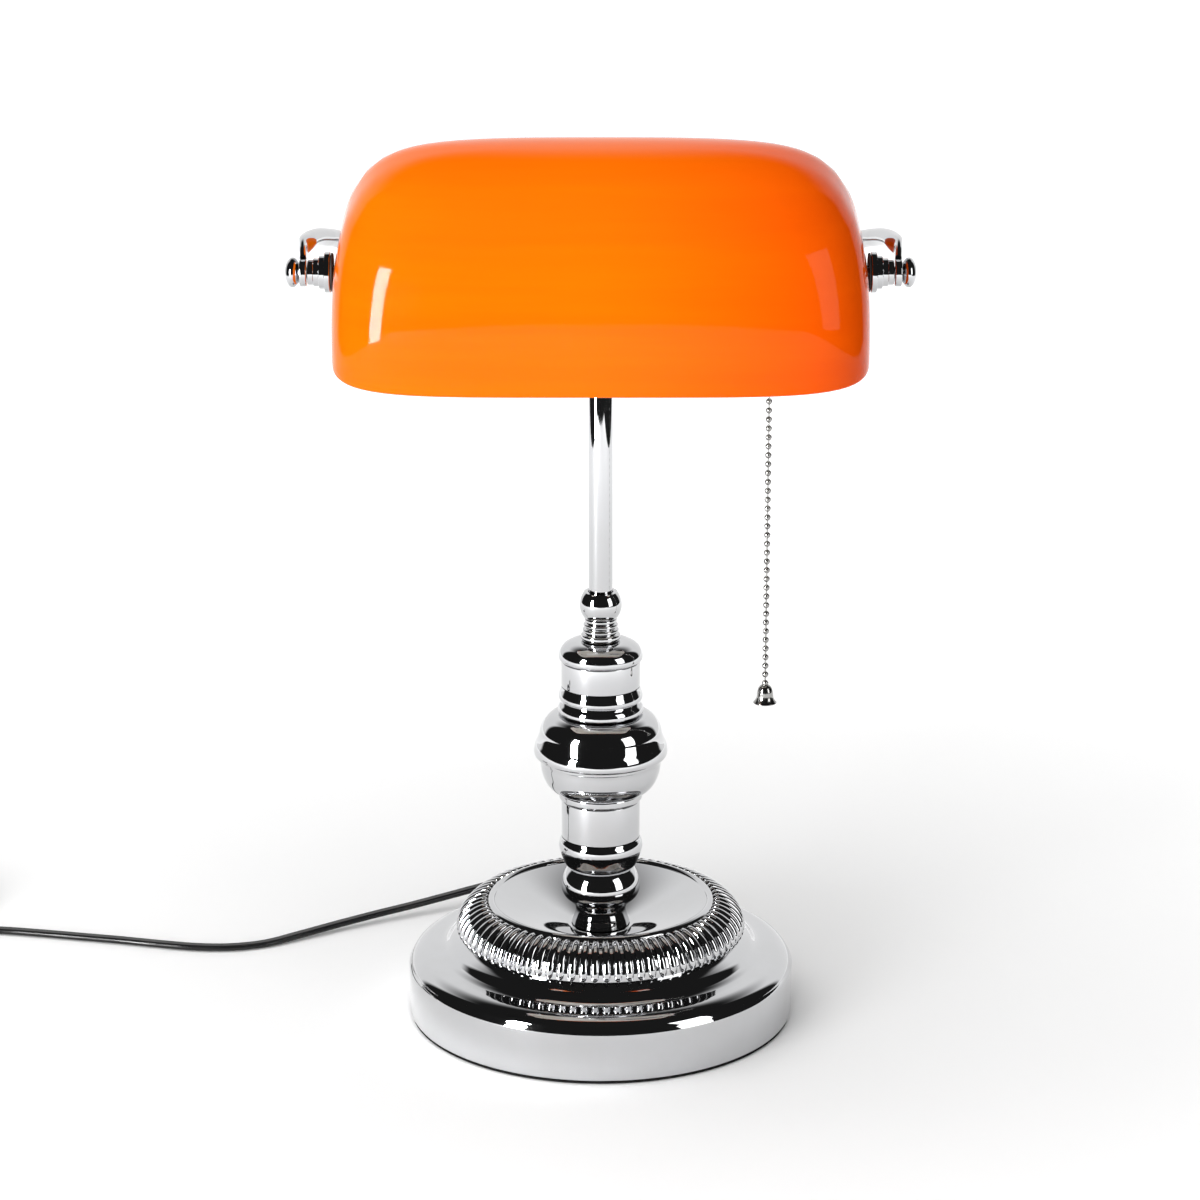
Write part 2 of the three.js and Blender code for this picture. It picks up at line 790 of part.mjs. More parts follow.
// One level of the glass: a rounded rectangle whose half sides shrink towards the top.
function shadeLevel(share, inside) {
  const off = inside ? shade.glass : 0;
  const along = (shade.halfLength - off) * Math.pow(1 - Math.pow(share, 3), 1 / 6);
  const across = (shade.halfDepth - off) * Math.pow(1 - Math.pow(share, 2.4), 1 / 2.2);
  const height = share * (shade.height - off) - shade.lipBelowPivot;
  const squareness = 2 / (5.2 - 2.2 * share);
  return { along, across, height, squareness };
}

function shadePoint(level, turn) {
  const [c, s] = [Math.cos(turn), Math.sin(turn)];
  return [
    level.along * Math.sign(c) * Math.pow(Math.abs(c), level.squareness),
    level.across * Math.sign(s) * Math.pow(Math.abs(s), level.squareness),
    level.height,
  ];
}

function shadeGlass() {
  const around = 36;
  const shares = [0, 0.14, 0.28, 0.42, 0.55, 0.67, 0.78, 0.87, 0.94, 0.98];
  const rings = [
    ...[...shares].reverse().map((share) => shadeLevel(share, true)),
    ...shares.map((share) => shadeLevel(share, false)),
  ];
  const triangles = [];
  const corner = (j, k) => shadePoint(rings[j], ((k % around) * 2 * Math.PI) / around);
  for (let j = 0; j + 1 < rings.length; j++)
    for (let k = 0; k < around; k++) {
      const [a, b, c, d] = [corner(j, k), corner(j, k + 1), corner(j + 1, k + 1), corner(j + 1, k)];
      triangles.push(a, b, c, a, c, d);
    }
  const apex = (inside) => [0, 0, shade.height - (inside ? shade.glass : 0) - shade.lipBelowPivot];
  for (let k = 0; k < around; k++) {
    triangles.push(apex(true), corner(0, k + 1), corner(0, k));
    triangles.push(apex(false), corner(rings.length - 1, k), corner(rings.length - 1, k + 1));
  }
  const points = new Float32Array(triangles.flat());
  const glass = new THREE.BufferGeometry();
  glass.setAttribute("position", new THREE.BufferAttribute(points, 3));
  const span = shade.halfLength + 10;
  const hole = turnedAboutX(bar(stud.radius + gap, -span, span), 12);
  return geometryOf(solidOf(facingOut(glass)).subtract(solidOf(hole)));
}

place(shadeGroup, "shade_glass", shadeGlass(), orangeGlass);

const innerEnd = glassReach(seatRadius, true);
const rubberThickness = 0.8;
const spacerStart = glassEnd + gap + rubberThickness + gap;
const spacerEnd = eyeInner - gap;
const innerWasherEnd = innerEnd - gap;
const innerNutEnd = innerWasherEnd - washerThickness - gap;
const innerNutHeight = 2.6;
const knobStart = eyeOuter + gap;

function spacerProfile() {
  const step = (spacerEnd - spacerStart) / 4;
  const radii = [8.6, 7, 5.9, 5.3];
  const outline = radii.flatMap((r, i) => [
    [r, spacerStart + i * step],
    [r, spacerStart + (i + 1) * step],
  ]);
  return bored(outline, stud.radius + gap);
}

for (const [name, side] of [["left", -1], ["right", 1]]) {
  const sided = (profile, sides) => onSide(side, profile, sides);
  const bore = stud.radius + gap;
  place(shadeGroup, name + "_outer_washer", sided(ring(bore, seatRadius, glassEnd + gap, spacerStart - gap)), rubber);
  place(shadeGroup, name + "_spacer", sided(spacerProfile(), 20), chrome);
  place(
    shadeGroup,
    name + "_inner_washer",
    sided(ring(bore, 7, innerWasherEnd - washerThickness, innerWasherEnd)),
    rubber,
  );
  place(
    shadeGroup,
    name + "_inner_nut",
    facingOut(hexNut(9.2, innerNutHeight, bore).rotateY(Math.PI / 2).translate(innerNutEnd - innerNutHeight, 0, 0).scale(side, 1, 1)),
    steel,
  );
  const studProfile = bar(stud.radius, innerNutEnd - innerNutHeight - 0.6, knobStart + 3.4);
  place(shadeGroup, name + "_pivot_stud", sided(studProfile, 12), steel);
  const knobMiddle = knobStart + 0.45 * knob.length;
  const knobProfile = [
    [bore, knobStart],
    [knob.radius - 2.4, knobStart],
    ...arc(0, knobMiddle, knob.radius, knob.length * 0.55, -40, 90, 7),
    [0, knobStart + 3.8],
    [bore, knobStart + 3.8],
    [bore, knobStart],
  ];
  const cap = sided(knobProfile, 20);
  cap.translate(0, 0, pivotHeight);
  place(lamp, name + "_knob", cap, chrome);
}

// ---- mains cord, coil and plug -------------------------------------------------------------------
const cordStart = reliefY + cord.reliefLength + base.sheet + gap;
const cordFloor = cord.radius + 0.1; // height of its middle where it lies on the table
const turnY = coil.y - coil.turnRadius; // the outer turns run past here
const clearOfCoil = Math.sqrt((coil.outer + cord.radius + gap) ** 2 - coil.turnRadius ** 2) + 0.4;
const cordRoute = [
  [0, cordStart, cord.exitHeight],
  [0, cordStart + 9, cord.exitHeight],
  [-7, cordStart + 20, 11.6],
  [-20, cordStart + 26, 10.8],
  [-36, cordStart + 24, 9.6],
  [-54, cordStart + 17, 8],
  [-73, cordStart + 7, 6.4],
  [-90, cordStart - 2, 5],
  [-106, 100, 4],
  [-124, 89.4, 3],
  [-141, 78.4, 2.2],
  [-156, 69.4, cordFloor],
  [-171, 64.8, cordFloor],
  [-187, 64.8, cordFloor],
  [-205, 68.4, cordFloor],
  [-224, 73.2, cordFloor],
  [-244, 77.6, cordFloor],
  [-264, 82, cordFloor],
  [-283, 85.4, cordFloor],
  [-298, turnY, cordFloor],
  [coil.x + clearOfCoil, turnY, cordFloor],
];
const tailHeight = coil.height - 1.8;
const tailRoute = [
  [coil.x - clearOfCoil, turnY, tailHeight],
  [coil.x - clearOfCoil - 10, turnY - 0.3, tailHeight - 3],
  [coil.x - clearOfCoil - 22, plug.y, plug.height / 2 - 0.6],
  [plug.x + gap, plug.y, plug.height / 2],
];

// The moulded plug lies flat, its neck towards the coil.
function plugBody() {
  const [w, h] = [plug.width / 2, plug.height / 2];
  const outline = new THREE.Shape();
  outline.moveTo(0, -3);
  outline.lineTo(0, 3);
  outline.lineTo(-plug.neck, 4.2);
  outline.lineTo(-plug.neck - 4, w);
  outline.lineTo(-plug.neck - plug.length, w);
  outline.lineTo(-plug.neck - plug.length, -w);
  outline.lineTo(-plug.neck - 4, -w);
  outline.lineTo(-plug.neck, -4.2);
  outline.closePath();
  const body = new THREE.ExtrudeGeometry(outline, { depth: plug.height, bevelEnabled: false });
  body.translate(plug.x, plug.y, 0.1);
  const wedge = new THREE.Shape();
  const neckHalf = 3;
  wedge.moveTo(0, -neckHalf);
  wedge.lineTo(0, neckHalf);
  wedge.lineTo(-plug.neck, 4.6);
  wedge.lineTo(-plug.neck - 4, h);
  wedge.lineTo(-plug.neck - plug.length, h);
  wedge.lineTo(-plug.neck - plug.length, -h);
  wedge.lineTo(-plug.neck - 4, -h);
  wedge.lineTo(-plug.neck, -4.6);
  wedge.closePath();
  const side = new THREE.ExtrudeGeometry(wedge, { depth: plug.width + 4, bevelEnabled: false });
  side.translate(0, 0, -plug.width / 2 - 2).rotateX(Math.PI / 2);
  side.translate(plug.x, plug.y, h + 0.1);
  return geometryOf(solidOf(body).intersect(solidOf(side)));
}

place(lamp, "mains_cord", tubeAlong(cordRoute, cord.radius, 8, 60), rubber);
const bundle = ring(coil.inner, coil.outer, 0.1, coil.height);
place(lamp, "cord_coil", turned(bundle, 32).translate(coil.x, coil.y, 0), rubber);
place(lamp, "cord_tail", tubeAlong(tailRoute, cord.radius, 8, 10), rubber);
place(lamp, "plug_body", plugBody(), rubber);
for (const [name, side] of [["a", -1], ["b", 1]]) {
  const blade = new THREE.BoxGeometry(prong.length, prong.thickness, prong.height);
  const bladeX = plug.x - plug.neck - plug.length - gap - prong.length / 2;
  blade.translate(bladeX, plug.y + (side * prong.spread) / 2, plug.height / 2 + 0.1);
  place(lamp, "plug_prong_" + name, blade, bladeBrass);
}

export default lamp;
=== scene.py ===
import math

import bmesh
import bpy
from mathutils import Matrix, Vector


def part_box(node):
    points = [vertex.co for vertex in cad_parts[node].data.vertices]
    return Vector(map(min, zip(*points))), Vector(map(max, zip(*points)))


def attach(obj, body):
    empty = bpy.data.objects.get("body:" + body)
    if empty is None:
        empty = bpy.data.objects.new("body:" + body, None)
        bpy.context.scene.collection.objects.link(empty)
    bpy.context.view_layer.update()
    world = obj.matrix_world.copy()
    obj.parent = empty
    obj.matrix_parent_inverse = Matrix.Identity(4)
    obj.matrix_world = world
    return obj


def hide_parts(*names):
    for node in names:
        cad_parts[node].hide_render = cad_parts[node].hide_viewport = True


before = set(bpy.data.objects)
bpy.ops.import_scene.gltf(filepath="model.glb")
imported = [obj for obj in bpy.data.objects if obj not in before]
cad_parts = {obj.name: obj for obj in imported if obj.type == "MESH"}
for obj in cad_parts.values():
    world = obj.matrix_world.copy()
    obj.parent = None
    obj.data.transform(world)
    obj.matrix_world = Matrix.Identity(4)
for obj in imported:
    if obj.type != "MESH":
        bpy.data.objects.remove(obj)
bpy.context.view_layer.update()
scene = bpy.context.scene
mm = 0.001
print("frame loaded")


# camera: straight in front of the lamp, tipped down

cameraLook = {"place": (-0.0003, -1.45, 0.6215), "tilt": 73.4, "lens": 105.0, "sensor": 36.0, "far": 60}

cameraData = bpy.data.cameras.new("studioCamera")
cameraData.lens = cameraLook["lens"]
cameraData.sensor_width = cameraLook["sensor"]
cameraData.clip_end = cameraLook["far"]
camera = bpy.data.objects.new("studioCamera", cameraData)
scene.collection.objects.link(camera)
camera.location = cameraLook["place"]
camera.rotation_euler = (math.radians(cameraLook["tilt"]), 0, 0)
scene.camera = camera
print("camera placed")


# shapes: points are in millimetres until makePiece


def smoothStep(t):
    t = min(max(t, 0), 1)
    return t * t * (3 - 2 * t)


def arcLine(middleR, middleZ, radiusR, radiusZ, start, end, steps=10):
    line = []
    for i in range(steps + 1):
        angle = math.radians(start + (end - start) * i / steps)
        line.append((middleR + radiusR * math.cos(angle), middleZ + radiusZ * math.sin(angle)))
    return line


def eased(corners, steps=3):
    # corners are (radius, height) or (radius, height, rounding), and the line closes on itself
    line = []
    for i, corner in enumerate(corners):
        here = Vector(corner[:2])
        if len(corner) < 3:
            line.append(tuple(here))
            continue
        before = Vector(corners[i - 1][:2]) - here
        after = Vector(corners[(i + 1) % len(corners)][:2]) - here
        reach = min(corner[2], 0.48 * before.length, 0.48 * after.length)
        first, last = here + before.normalized() * reach, here + after.normalized() * reach
        for k in range(steps + 1):
            t = k / steps
            line.append(tuple(first * (1 - t) ** 2 + here * 2 * t * (1 - t) + last * t * t))
    return line


def turnedShape(profile, sides=72):
    # a closed line spun about Z; a point on the axis stays one point
    points, rows, faces = [], [], []
    for radius, height in profile:
        if radius < 1e-4:
            points.append((0, 0, height))
            rows.append([len(points) - 1] * sides)
            continue
        rows.append(list(range(len(points), len(points) + sides)))
        for i in range(sides):
            angle = 2 * math.pi * i / sides
            points.append((radius * math.cos(angle), radius * math.sin(angle), height))
    for low, high in zip(rows, rows[1:] + rows[:1]):
        for i in range(sides):
            j = (i + 1) % sides
            corners = list(dict.fromkeys([low[i], low[j], high[j], high[i]]))
            if len(corners) > 2:
                faces.append(corners)
    return points, faces


def laidAlongX(shape, middle=(0, 0, 0), side=1):
    points, faces = shape
    return [(side * (z + middle[0]), x + middle[1], y + middle[2]) for x, y, z in points], faces


def laidAlongY(shape, middle=(0, 0, 0)):
    points, faces = shape
    return [(y + middle[0], z + middle[1], x + middle[2]) for x, y, z in points], faces


def movedBy(shape, offset):
    points, faces = shape
    return [(x + offset[0], y + offset[1], z + offset[2]) for x, y, z in points], faces


def joined(*shapes):
    points, faces = [], []
    for morePoints, moreFaces in shapes:
        start = len(points)
        points += list(morePoints)
        faces += [[start + i for i in face] for face in moreFaces]
    return points, faces


def smoothLine(corners, each=8):
    # a centripetal curve through every corner, with the same number of steps between corners
    p = [Vector(c) for c in corners]
    p = [2 * p[0] - p[1]] + p + [2 * p[-1] - p[-2]]
    line = []
    for i in range(1, len(p) - 2):
        a, b, c, d = p[i - 1 : i + 3]
        da, db, dc = [math.sqrt((q - r).length) for q, r in ((b, a), (c, b), (d, c))]
        leave = ((b - a) / da - (c - a) / (da + db) + (c - b) / db) * db
        arrive = ((c - b) / db - (d - b) / (db + dc) + (d - c) / dc) * db
        for k in range(each):
            t = k / each
            line.append(
                b * (2 * t**3 - 3 * t**2 + 1)
                + leave * (t**3 - 2 * t**2 + t)
                + c * (3 * t**2 - 2 * t**3)
                + arrive * (t**3 - t**2)
            )
    line.append(p[-2])
    return line


def curvedLine(corners, each=4):
    # the same curve for a turned outline of (radius, height) pairs
    return [(p.x, p.z) for p in smoothLine([(r, 0, z) for r, z in corners], each)]


def sweptShape(line, sectionAt, side=None):
    # a section carried along a line; without a side it stays level
    points, faces = [], []
    last = len(line) - 1
    for i, here in enumerate(line):
        along = (line[min(i + 1, last)] - line[max(i - 1, 0)]).normalized()
        if side is None:
            sideways = Vector((0, 0, 1)).cross(along).normalized()
        else:
            side = sideways = (side - along * side.dot(along)).normalized()
        upwards = along.cross(sideways)
        section = sectionAt(i)
        points += [tuple(here + sideways * u + upwards * v) for u, v in section]
    n = len(section)
    for i in range(last):
        for k in range(n):
            j = (k + 1) % n
            faces.append([i * n + k, i * n + j, (i + 1) * n + j, (i + 1) * n + k])
    faces.append(list(range(n)))
    faces.append([last * n + k for k in range(n)])
    return points, faces


def ovalSection(halfWide, halfHigh, sides=20, power=2.0):
    # a round, oval or boxy outline: power 2 is an ellipse, more is squarer
    outline = []
    for i in range(sides):
        c, s = math.cos(2 * math.pi * i / sides), math.sin(2 * math.pi * i / sides)
        reach = (abs(c) ** power + abs(s) ** power) ** (-1 / power)
        outline.append((halfWide * reach * c, halfHigh * reach * s))
    return outline


sharpEdge = 32  # degrees between two faces, past which their edge stays sharp


def makePiece(name, shape, finishes, finishOf=None, sharp=sharpEdge):
    points, faces = shape
    mesh = bpy.data.meshes.new(name)
    mesh.from_pydata([Vector(p) * mm for p in points], [], faces)
    for one in finishes:
        mesh.materials.append(one)
    if finishOf:
        mesh.polygons.foreach_set("material_index", finishOf)
    work = bmesh.new()
    work.from_mesh(mesh)
    bmesh.ops.remove_doubles(work, verts=work.verts, dist=2e-6)
    bmesh.ops.recalc_face_normals(work, faces=work.faces)
    work.to_mesh(mesh)
    work.free()
    mesh.shade_smooth()
    mesh.set_sharp_from_angle(angle=math.radians(sharp))
    piece = bpy.data.objects.new(name, mesh)
    scene.collection.objects.link(piece)
    return piece


def settle(piece, body, slot, *nodes):
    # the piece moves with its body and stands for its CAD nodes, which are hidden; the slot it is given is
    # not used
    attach(piece, body)
    if nodes:
        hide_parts(*nodes)
    return piece


# finishes: each has its own spots, polish and bump, read from Object coordinates


cloudSpread = (0.3, 0.7)  # where most of the noise's values lie
finerBy = 3.1  # the polish varies more finely than the colour


def newNode(tree, kind, **inputs):
    node = tree.nodes.new(kind)
    for name, value in inputs.items():
        node.inputs[name.replace("_", " ")].default_value = value
    return node


def makeFinish(look):
    material = bpy.data.materials.new(look["name"])
    material.use_nodes = True
    tree = material.node_tree
    tree.nodes.clear()
    link = tree.links.new
    output = tree.nodes.new("ShaderNodeOutputMaterial")
    shader = tree.nodes.new("ShaderNodeBsdfPrincipled")
    link(shader.outputs["BSDF"], output.inputs["Surface"])
    for socket, value in look["shader"].items():
        shader.inputs[socket].default_value = value
    place = tree.nodes.new("ShaderNodeTexCoord")
    stretch = newNode(tree, "ShaderNodeMapping", Scale=look.get("stretch", (1, 1, 1)))
    link(place.outputs["Object"], stretch.inputs["Vector"])

    def noise(scale, detail, vector=stretch.outputs["Vector"]):
        cloud = newNode(tree, "ShaderNodeTexNoise", Scale=scale, Detail=detail, Roughness=0.55)
        link(vector, cloud.inputs["Vector"])
        return cloud.outputs["Fac"]

    clouds = noise(look["spots"], 4)
    tint = tree.nodes.new("ShaderNodeValToRGB")
    for stop, spot, key in zip(tint.color_ramp.elements, cloudSpread, ("color", "second")):
        stop.position = spot
        stop.color = (*look[key], 1)
    link(clouds, tint.inputs["Fac"])
    colour = tint.outputs["Color"]
    if "paintedShade" in look:
        # painted shade: the colour darkens along one direction of the piece, as if the light fell from the
        # other side
        apart = tree.nodes.new("ShaderNodeSeparateXYZ")
        link(place.outputs["Object"], apart.inputs["Vector"])
        start, end = look["paintedShade"]["start"], look["paintedShade"]["end"]
        reach = newNode(tree, "ShaderNodeMapRange", From_Min=start, From_Max=end)
        reach.interpolation_type = "SMOOTHSTEP"
        link(apart.outputs[look["paintedShade"]["axis"]], reach.inputs["Value"])
        mix = tree.nodes.new("ShaderNodeMix")
        mix.data_type = "RGBA"
        mix.blend_type = "MULTIPLY"
        # a colour mix takes its share at 0 and its two colours at 6 and 7
        link(reach.outputs["Result"], mix.inputs[0])
        link(colour, mix.inputs[6])
        mix.inputs[7].default_value = (*look["paintedShade"]["tint"], 1)
        colour = mix.outputs[2]
    link(colour, shader.inputs["Base Color"])
    polish = newNode(tree, "ShaderNodeMapRange", From_Min=cloudSpread[0], From_Max=cloudSpread[1])
    polish.inputs["To Min"].default_value, polish.inputs["To Max"].default_value = look["polish"]
    link(noise(look["spots"] * finerBy, 3), polish.inputs["Value"])
    link(polish.outputs["Result"], shader.inputs["Roughness"])
    if look["bump"][0] > 0:
        strength, scale, distance = look["bump"]
        bump = newNode(tree, "ShaderNodeBump", Strength=strength, Distance=distance)
        link(noise(scale, look.get("bumpDetail", 2)), bump.inputs["Height"])
        link(bump.outputs["Normal"], shader.inputs["Normal"])
    return material


def chromeLook(name, color, second, polish, bump):
    return {
        "name": name,
        "color": color,
        "second": second,
        "spots": 35,
        "polish": polish,
        "bump": bump,
        "shader": {"Metallic": 1.0, "IOR": 1.45},
    }


mirrorChrome = makeFinish(
    chromeLook("mirrorChrome", (0.58, 0.583, 0.59), (0.61, 0.615, 0.63), (0.025, 0.05), (0.02, 9, 0.0006))
)
beadNickel = makeFinish(
    chromeLook("beadNickel", (0.4, 0.395, 0.385), (0.33, 0.325, 0.315), (0.10, 0.2), (0.05, 700, 0.0001))
)
shellNickel = makeFinish(
    chromeLook("shellNickel", (0.48, 0.475, 0.465), (0.4, 0.395, 0.385), (0.2, 0.3), (0.05, 300, 0.0001))
)
plainSteel = makeFinish(
    chromeLook("plainSteel", (0.45, 0.46, 0.48), (0.33, 0.34, 0.35), (0.32, 0.5), (0.12, 400, 0.0001))
)
castIron = makeFinish(
    chromeLook("castIron", (0.09, 0.09, 0.095), (0.05, 0.05, 0.05), (0.6, 0.8), (0.6, 500, 0.0004))
)
bladeBrass = makeFinish(
    chromeLook("bladeBrass", (0.78, 0.58, 0.28), (0.68, 0.48, 0.22), (0.2, 0.32), (0.1, 300, 0.0001))
)
orangeCasing = makeFinish(
    {
        "name": "orangeCasing",
        "color": (0.98, 0.175, 0.001),
        "second": (0.93, 0.145, 0.001),
        "spots": 26,
        "stretch": (0.12, 0.6, 2.2),
        "polish": (0.03, 0.07),
        "bump": (0.06, 40, 0.0004),
        # painted shade: the shade's right end darker and redder, as if the light fell from the left
        "paintedShade": {"axis": "X", "start": -0.02, "end": 0.12, "tint": (0.84, 0.5, 0.8)},
        "shader": {"IOR": 1.5, "Specular IOR Level": 0.09},
    }
)
opalLining = makeFinish(
    {
        "name": "opalLining",
        "color": (0.9, 0.87, 0.82),
        "second": (0.86, 0.82, 0.76),
        "spots": 18,
        "polish": (0.16, 0.28),
        "bump": (0.04, 60, 0.0003),
        "shader": {"IOR": 1.5},
    }
)
bulbOpal = makeFinish(
    {
        "name": "bulbOpal",
        "color": (0.93, 0.92, 0.9),
        "second": (0.88, 0.87, 0.85),
        "spots": 60,
        "polish": (0.2, 0.3),
        "bump": (0.03, 200, 0.0001),
        "shader": {"IOR": 1.5},
    }
)
feltPad = makeFinish(
    {
        "name": "feltPad",
        "color": (0.006, 0.006, 0.006),
        "second": (0.012, 0.012, 0.012),
        "spots": 220,
        "polish": (0.9, 1.0),
        "bump": (0.8, 1800, 0.0004),
        "bumpDetail": 6,
        "shader": {"Specular IOR Level": 0.1},
    }
)
socketPhenolic = makeFinish(
    {
        "name": "socketPhenolic",
        "color": (0.022, 0.018, 0.015),
        "second": (0.045, 0.03, 0.022),
        "spots": 90,
        "polish": (0.35, 0.5),
        "bump": (0.1, 500, 0.0002),
        "shader": {"IOR": 1.5},
    }
)
washerRubber = makeFinish(
    {
        "name": "washerRubber",
        "color": (0.012, 0.012, 0.012),
        "second": (0.022, 0.022, 0.022),
        "spots": 120,
        "polish": (0.55, 0.7),
        "bump": (0.15, 900, 0.0002),
        "shader": {"IOR": 1.5},
    }
)
cordVinyl = makeFinish(
    {
        "name": "cordVinyl",
        "color": (0.007, 0.007, 0.008),
        "second": (0.013, 0.013, 0.013),
        "spots": 60,
        "polish": (0.16, 0.24),
        "bump": (0.06, 350, 0.0002),
        "shader": {"IOR": 1.5, "Specular IOR Level": 0.3},
    }
)
plugVinyl = makeFinish(
    {
        "name": "plugVinyl",
        "color": (0.010, 0.010, 0.011),
        "second": (0.017, 0.017, 0.017),
        "spots": 80,
        "polish": (0.35, 0.48),
        "bump": (0.2, 1200, 0.0002),
        "shader": {"IOR": 1.5},
    }
)
print("finishes mixed")


# mains cord: a flat two-core lead, its spare length wound in a coil

cordLook = {
    "length": 1.7,  # metres, the whole lead
    "wide": 5.0,
    "thick": 2.8,
    "groove": 0.95,  # half thickness at the middle
    "exit": (0, 110.4, 12),
    "coilMiddle": (-333, 117.6),
    "outerTurn": 31.6,
    "innerTurn": 26.5,
    "firstLayer": 1.5,
    "layerRise": 2.9,
    "wound": 2520,  # degrees
    "firstCrossing": 322,  # degrees, as are the two below
    "crossingEvery": 320,
    "crossingTakes": 40,
    "crossings": 7,
    "intoCoil": (-326, 86, 1.5),
    "outOfCoil": (-342, 86, 10.2),
    "roundSides": 8,
}
cordRoute = [
    (0, 110.4, 12), (0, 119.4, 12), (-7, 130.4, 11.6), (-20, 136.4, 10.8), (-36, 134.4, 9.6),
    (-54, 127.4, 8), (-73, 117.4, 6.4), (-90, 108.4, 5), (-106, 100, 4), (-124, 89.4, 3),
    (-141, 78.4, 2.2), (-156, 69.4, 1.5), (-171, 64.8, 1.5), (-187, 64.8, 1.5), (-205, 68.4, 1.5),
    (-224, 73.2, 1.5), (-244, 77.6, 1.5), (-264, 82, 1.5), (-283, 85.4, 1.5), (-298, 86, 1.5),
    (-318, 86, 1.5),
]
cordTail = [(-350.5, 86, 10.2), (-361.5, 85.7, 7.9), (-373.5, 85, 7.2), (-387.8, 85, 7.5)]


def coilPoint(look, angle):
    # wound clockwise from the front: out, in, up, out, up and so on, each crossing a little earlier
    inward, layer = 0.0, 0.0
    takes = look["crossingTakes"]
    for i in range(look["crossings"]):
        middle = look["firstCrossing"] + look["crossingEvery"] * i
        passed = smoothStep((angle - middle + takes / 2) / takes)
        if i % 2:
            layer += passed
        else:
            inward += passed if i % 4 == 0 else -passed
    radius = look["outerTurn"] - (look["outerTurn"] - look["innerTurn"]) * inward
    turn = math.radians(angle)
    x, y = look["coilMiddle"]
    height = look["firstLayer"] + look["layerRise"] * layer
    return Vector((x - radius * math.sin(turn), y - radius * math.cos(turn), height))


def cordSection(look):
    halfWide, halfHigh = look["wide"] / 2, look["thick"] / 2
    core, sides = halfWide - halfHigh, look["roundSides"]
    outline = []
    for i in range(sides):
        angle = math.radians(-90 + 180 * (i + 0.5) / sides)
        outline.append((core + halfHigh * math.cos(angle), halfHigh * math.sin(angle)))
    outline.append((0, look["groove"]))
    outline += [(-u, v) for u, v in reversed(outline[:sides])]
    outline.append((0, -look["groove"]))
    return outline


def makeCord(look):
    coil = [coilPoint(look, angle) for angle in range(0, look["wound"] + 1, 6)]
    line = smoothLine(cordRoute, 5) + [Vector(look["intoCoil"])] + coil
    line += [Vector(look["outOfCoil"])] + smoothLine(cordTail, 5)
    section = cordSection(look)
    piece = makePiece("mains_lead", sweptShape(line, lambda i: section), [cordVinyl], sharp=50)
    return piece, [tuple(p * mm) for p in line]


cord, cordPath = makeCord(cordLook)
settle(cord, "base", "cord_plastic", "mains_cord", "cord_coil", "cord_tail")
cordLength = sum((Vector(b) - Vector(a)).length for a, b in zip(cordPath, cordPath[1:]))
print("cord laid,", round(cordLength, 3), "m")

reliefLook = {"exit": 12, "flange": 83.7, "root": 4.6, "tip": 3.3, "end": 110.1, "grooves": 5}


def makeRelief(look):
    start, end = look["flange"], look["end"]
    line = [(0, start - 2.6), (5.6, start - 2.6, 0.4), (5.6, start - 0.9)]
    line += [(3.6, start - 0.9), (3.6, start + 2.8)]
    line += [(look["root"], start + 2.8, 0.3), (look["root"], start + 6, 0.5)]
    length = end - 1 - (start + 7)
    for i in range(look["grooves"]):
        low = start + 7 + length * i / look["grooves"]
        step = length / look["grooves"]
        radius = look["root"] + (look["tip"] - look["root"]) * (i + 0.5) / look["grooves"]
        line += [(radius - 0.75, low + 0.1, 0.25), (radius - 0.75, low + 0.9, 0.25)]
        line += [(radius, low + 1.2, 0.3), (radius - 0.1, low + step - 0.1, 0.3)]
    line += [(look["tip"] - 0.1, end - 0.8, 0.4), (look["tip"] - 0.6, end, 0.3), (0, end)]
    shape = laidAlongY(turnedShape(eased(line), 40), (0, 0, look["exit"]))
    return makePiece("lead_strain_relief", shape, [washerRubber], sharp=40)


relief = settle(makeRelief(reliefLook), "base", "rubber", "cord_strain_relief")

plugLook = {
    "neck": -388.2,
    "shoulder": -400,
    "face": -427.9,
    "y": 85,
    "level": 7.6,
    "halfWide": 12.3,
    "halfHigh": 7.3,
    "ribs": 4,
    "ribStep": 2.5,
    "sides": 40,
}


def makePlug(look):
    # a moulded body with a ribbed neck and a hollow for the finger on each side;
    # a station is where it stands, its two half sizes and how square it is
    neck, shoulder, face = look["neck"], look["shoulder"], look["face"]
    stations = [(neck, 3.0, 2.6, 2.2)]
    for i in range(look["ribs"]):
        x = neck - 1.2 - look["ribStep"] * i
        wide = 3.4 + 0.35 * i
        stations += [(x, wide, wide - 0.3, 2.2), (x - 1.4, wide + 0.1, wide - 0.2, 2.2)]
        stations += [(x - 1.5, wide - 0.6, wide - 0.9, 2.2), (x - 2.3, wide - 0.5, wide - 0.8, 2.2)]
    for share, wide, high, power in (
        (0.0, 0.42, 0.55, 2.4), (0.05, 0.62, 0.72, 2.8), (0.12, 0.8, 0.86, 3.4), (0.2, 0.9, 0.93, 4),
        (0.35, 0.93, 0.9, 4.5), (0.5, 0.9, 0.86, 4.5), (0.65, 0.93, 0.9, 4.5), (0.8, 0.99, 0.98, 5),
        (0.94, 1.0, 1.0, 5), (0.98, 0.98, 0.98, 5), (1.0, 0.94, 0.93, 5),
    ):
        x = shoulder + (face - shoulder) * share
        stations.append((x, look["halfWide"] * wide, look["halfHigh"] * high, power))
    line = [Vector((station[0], look["y"], look["level"])) for station in stations]
    shape = sweptShape(line, lambda i: ovalSection(*stations[i][1:3], look["sides"], stations[i][3]))
    return makePiece("lead_plug", shape, [plugVinyl], sharp=38)


plug = settle(makePlug(plugLook), "base", "cord_plastic", "plug_body")
print("plug moulded")


# flat stamped parts: an outline with holes, given a thickness and a small edge


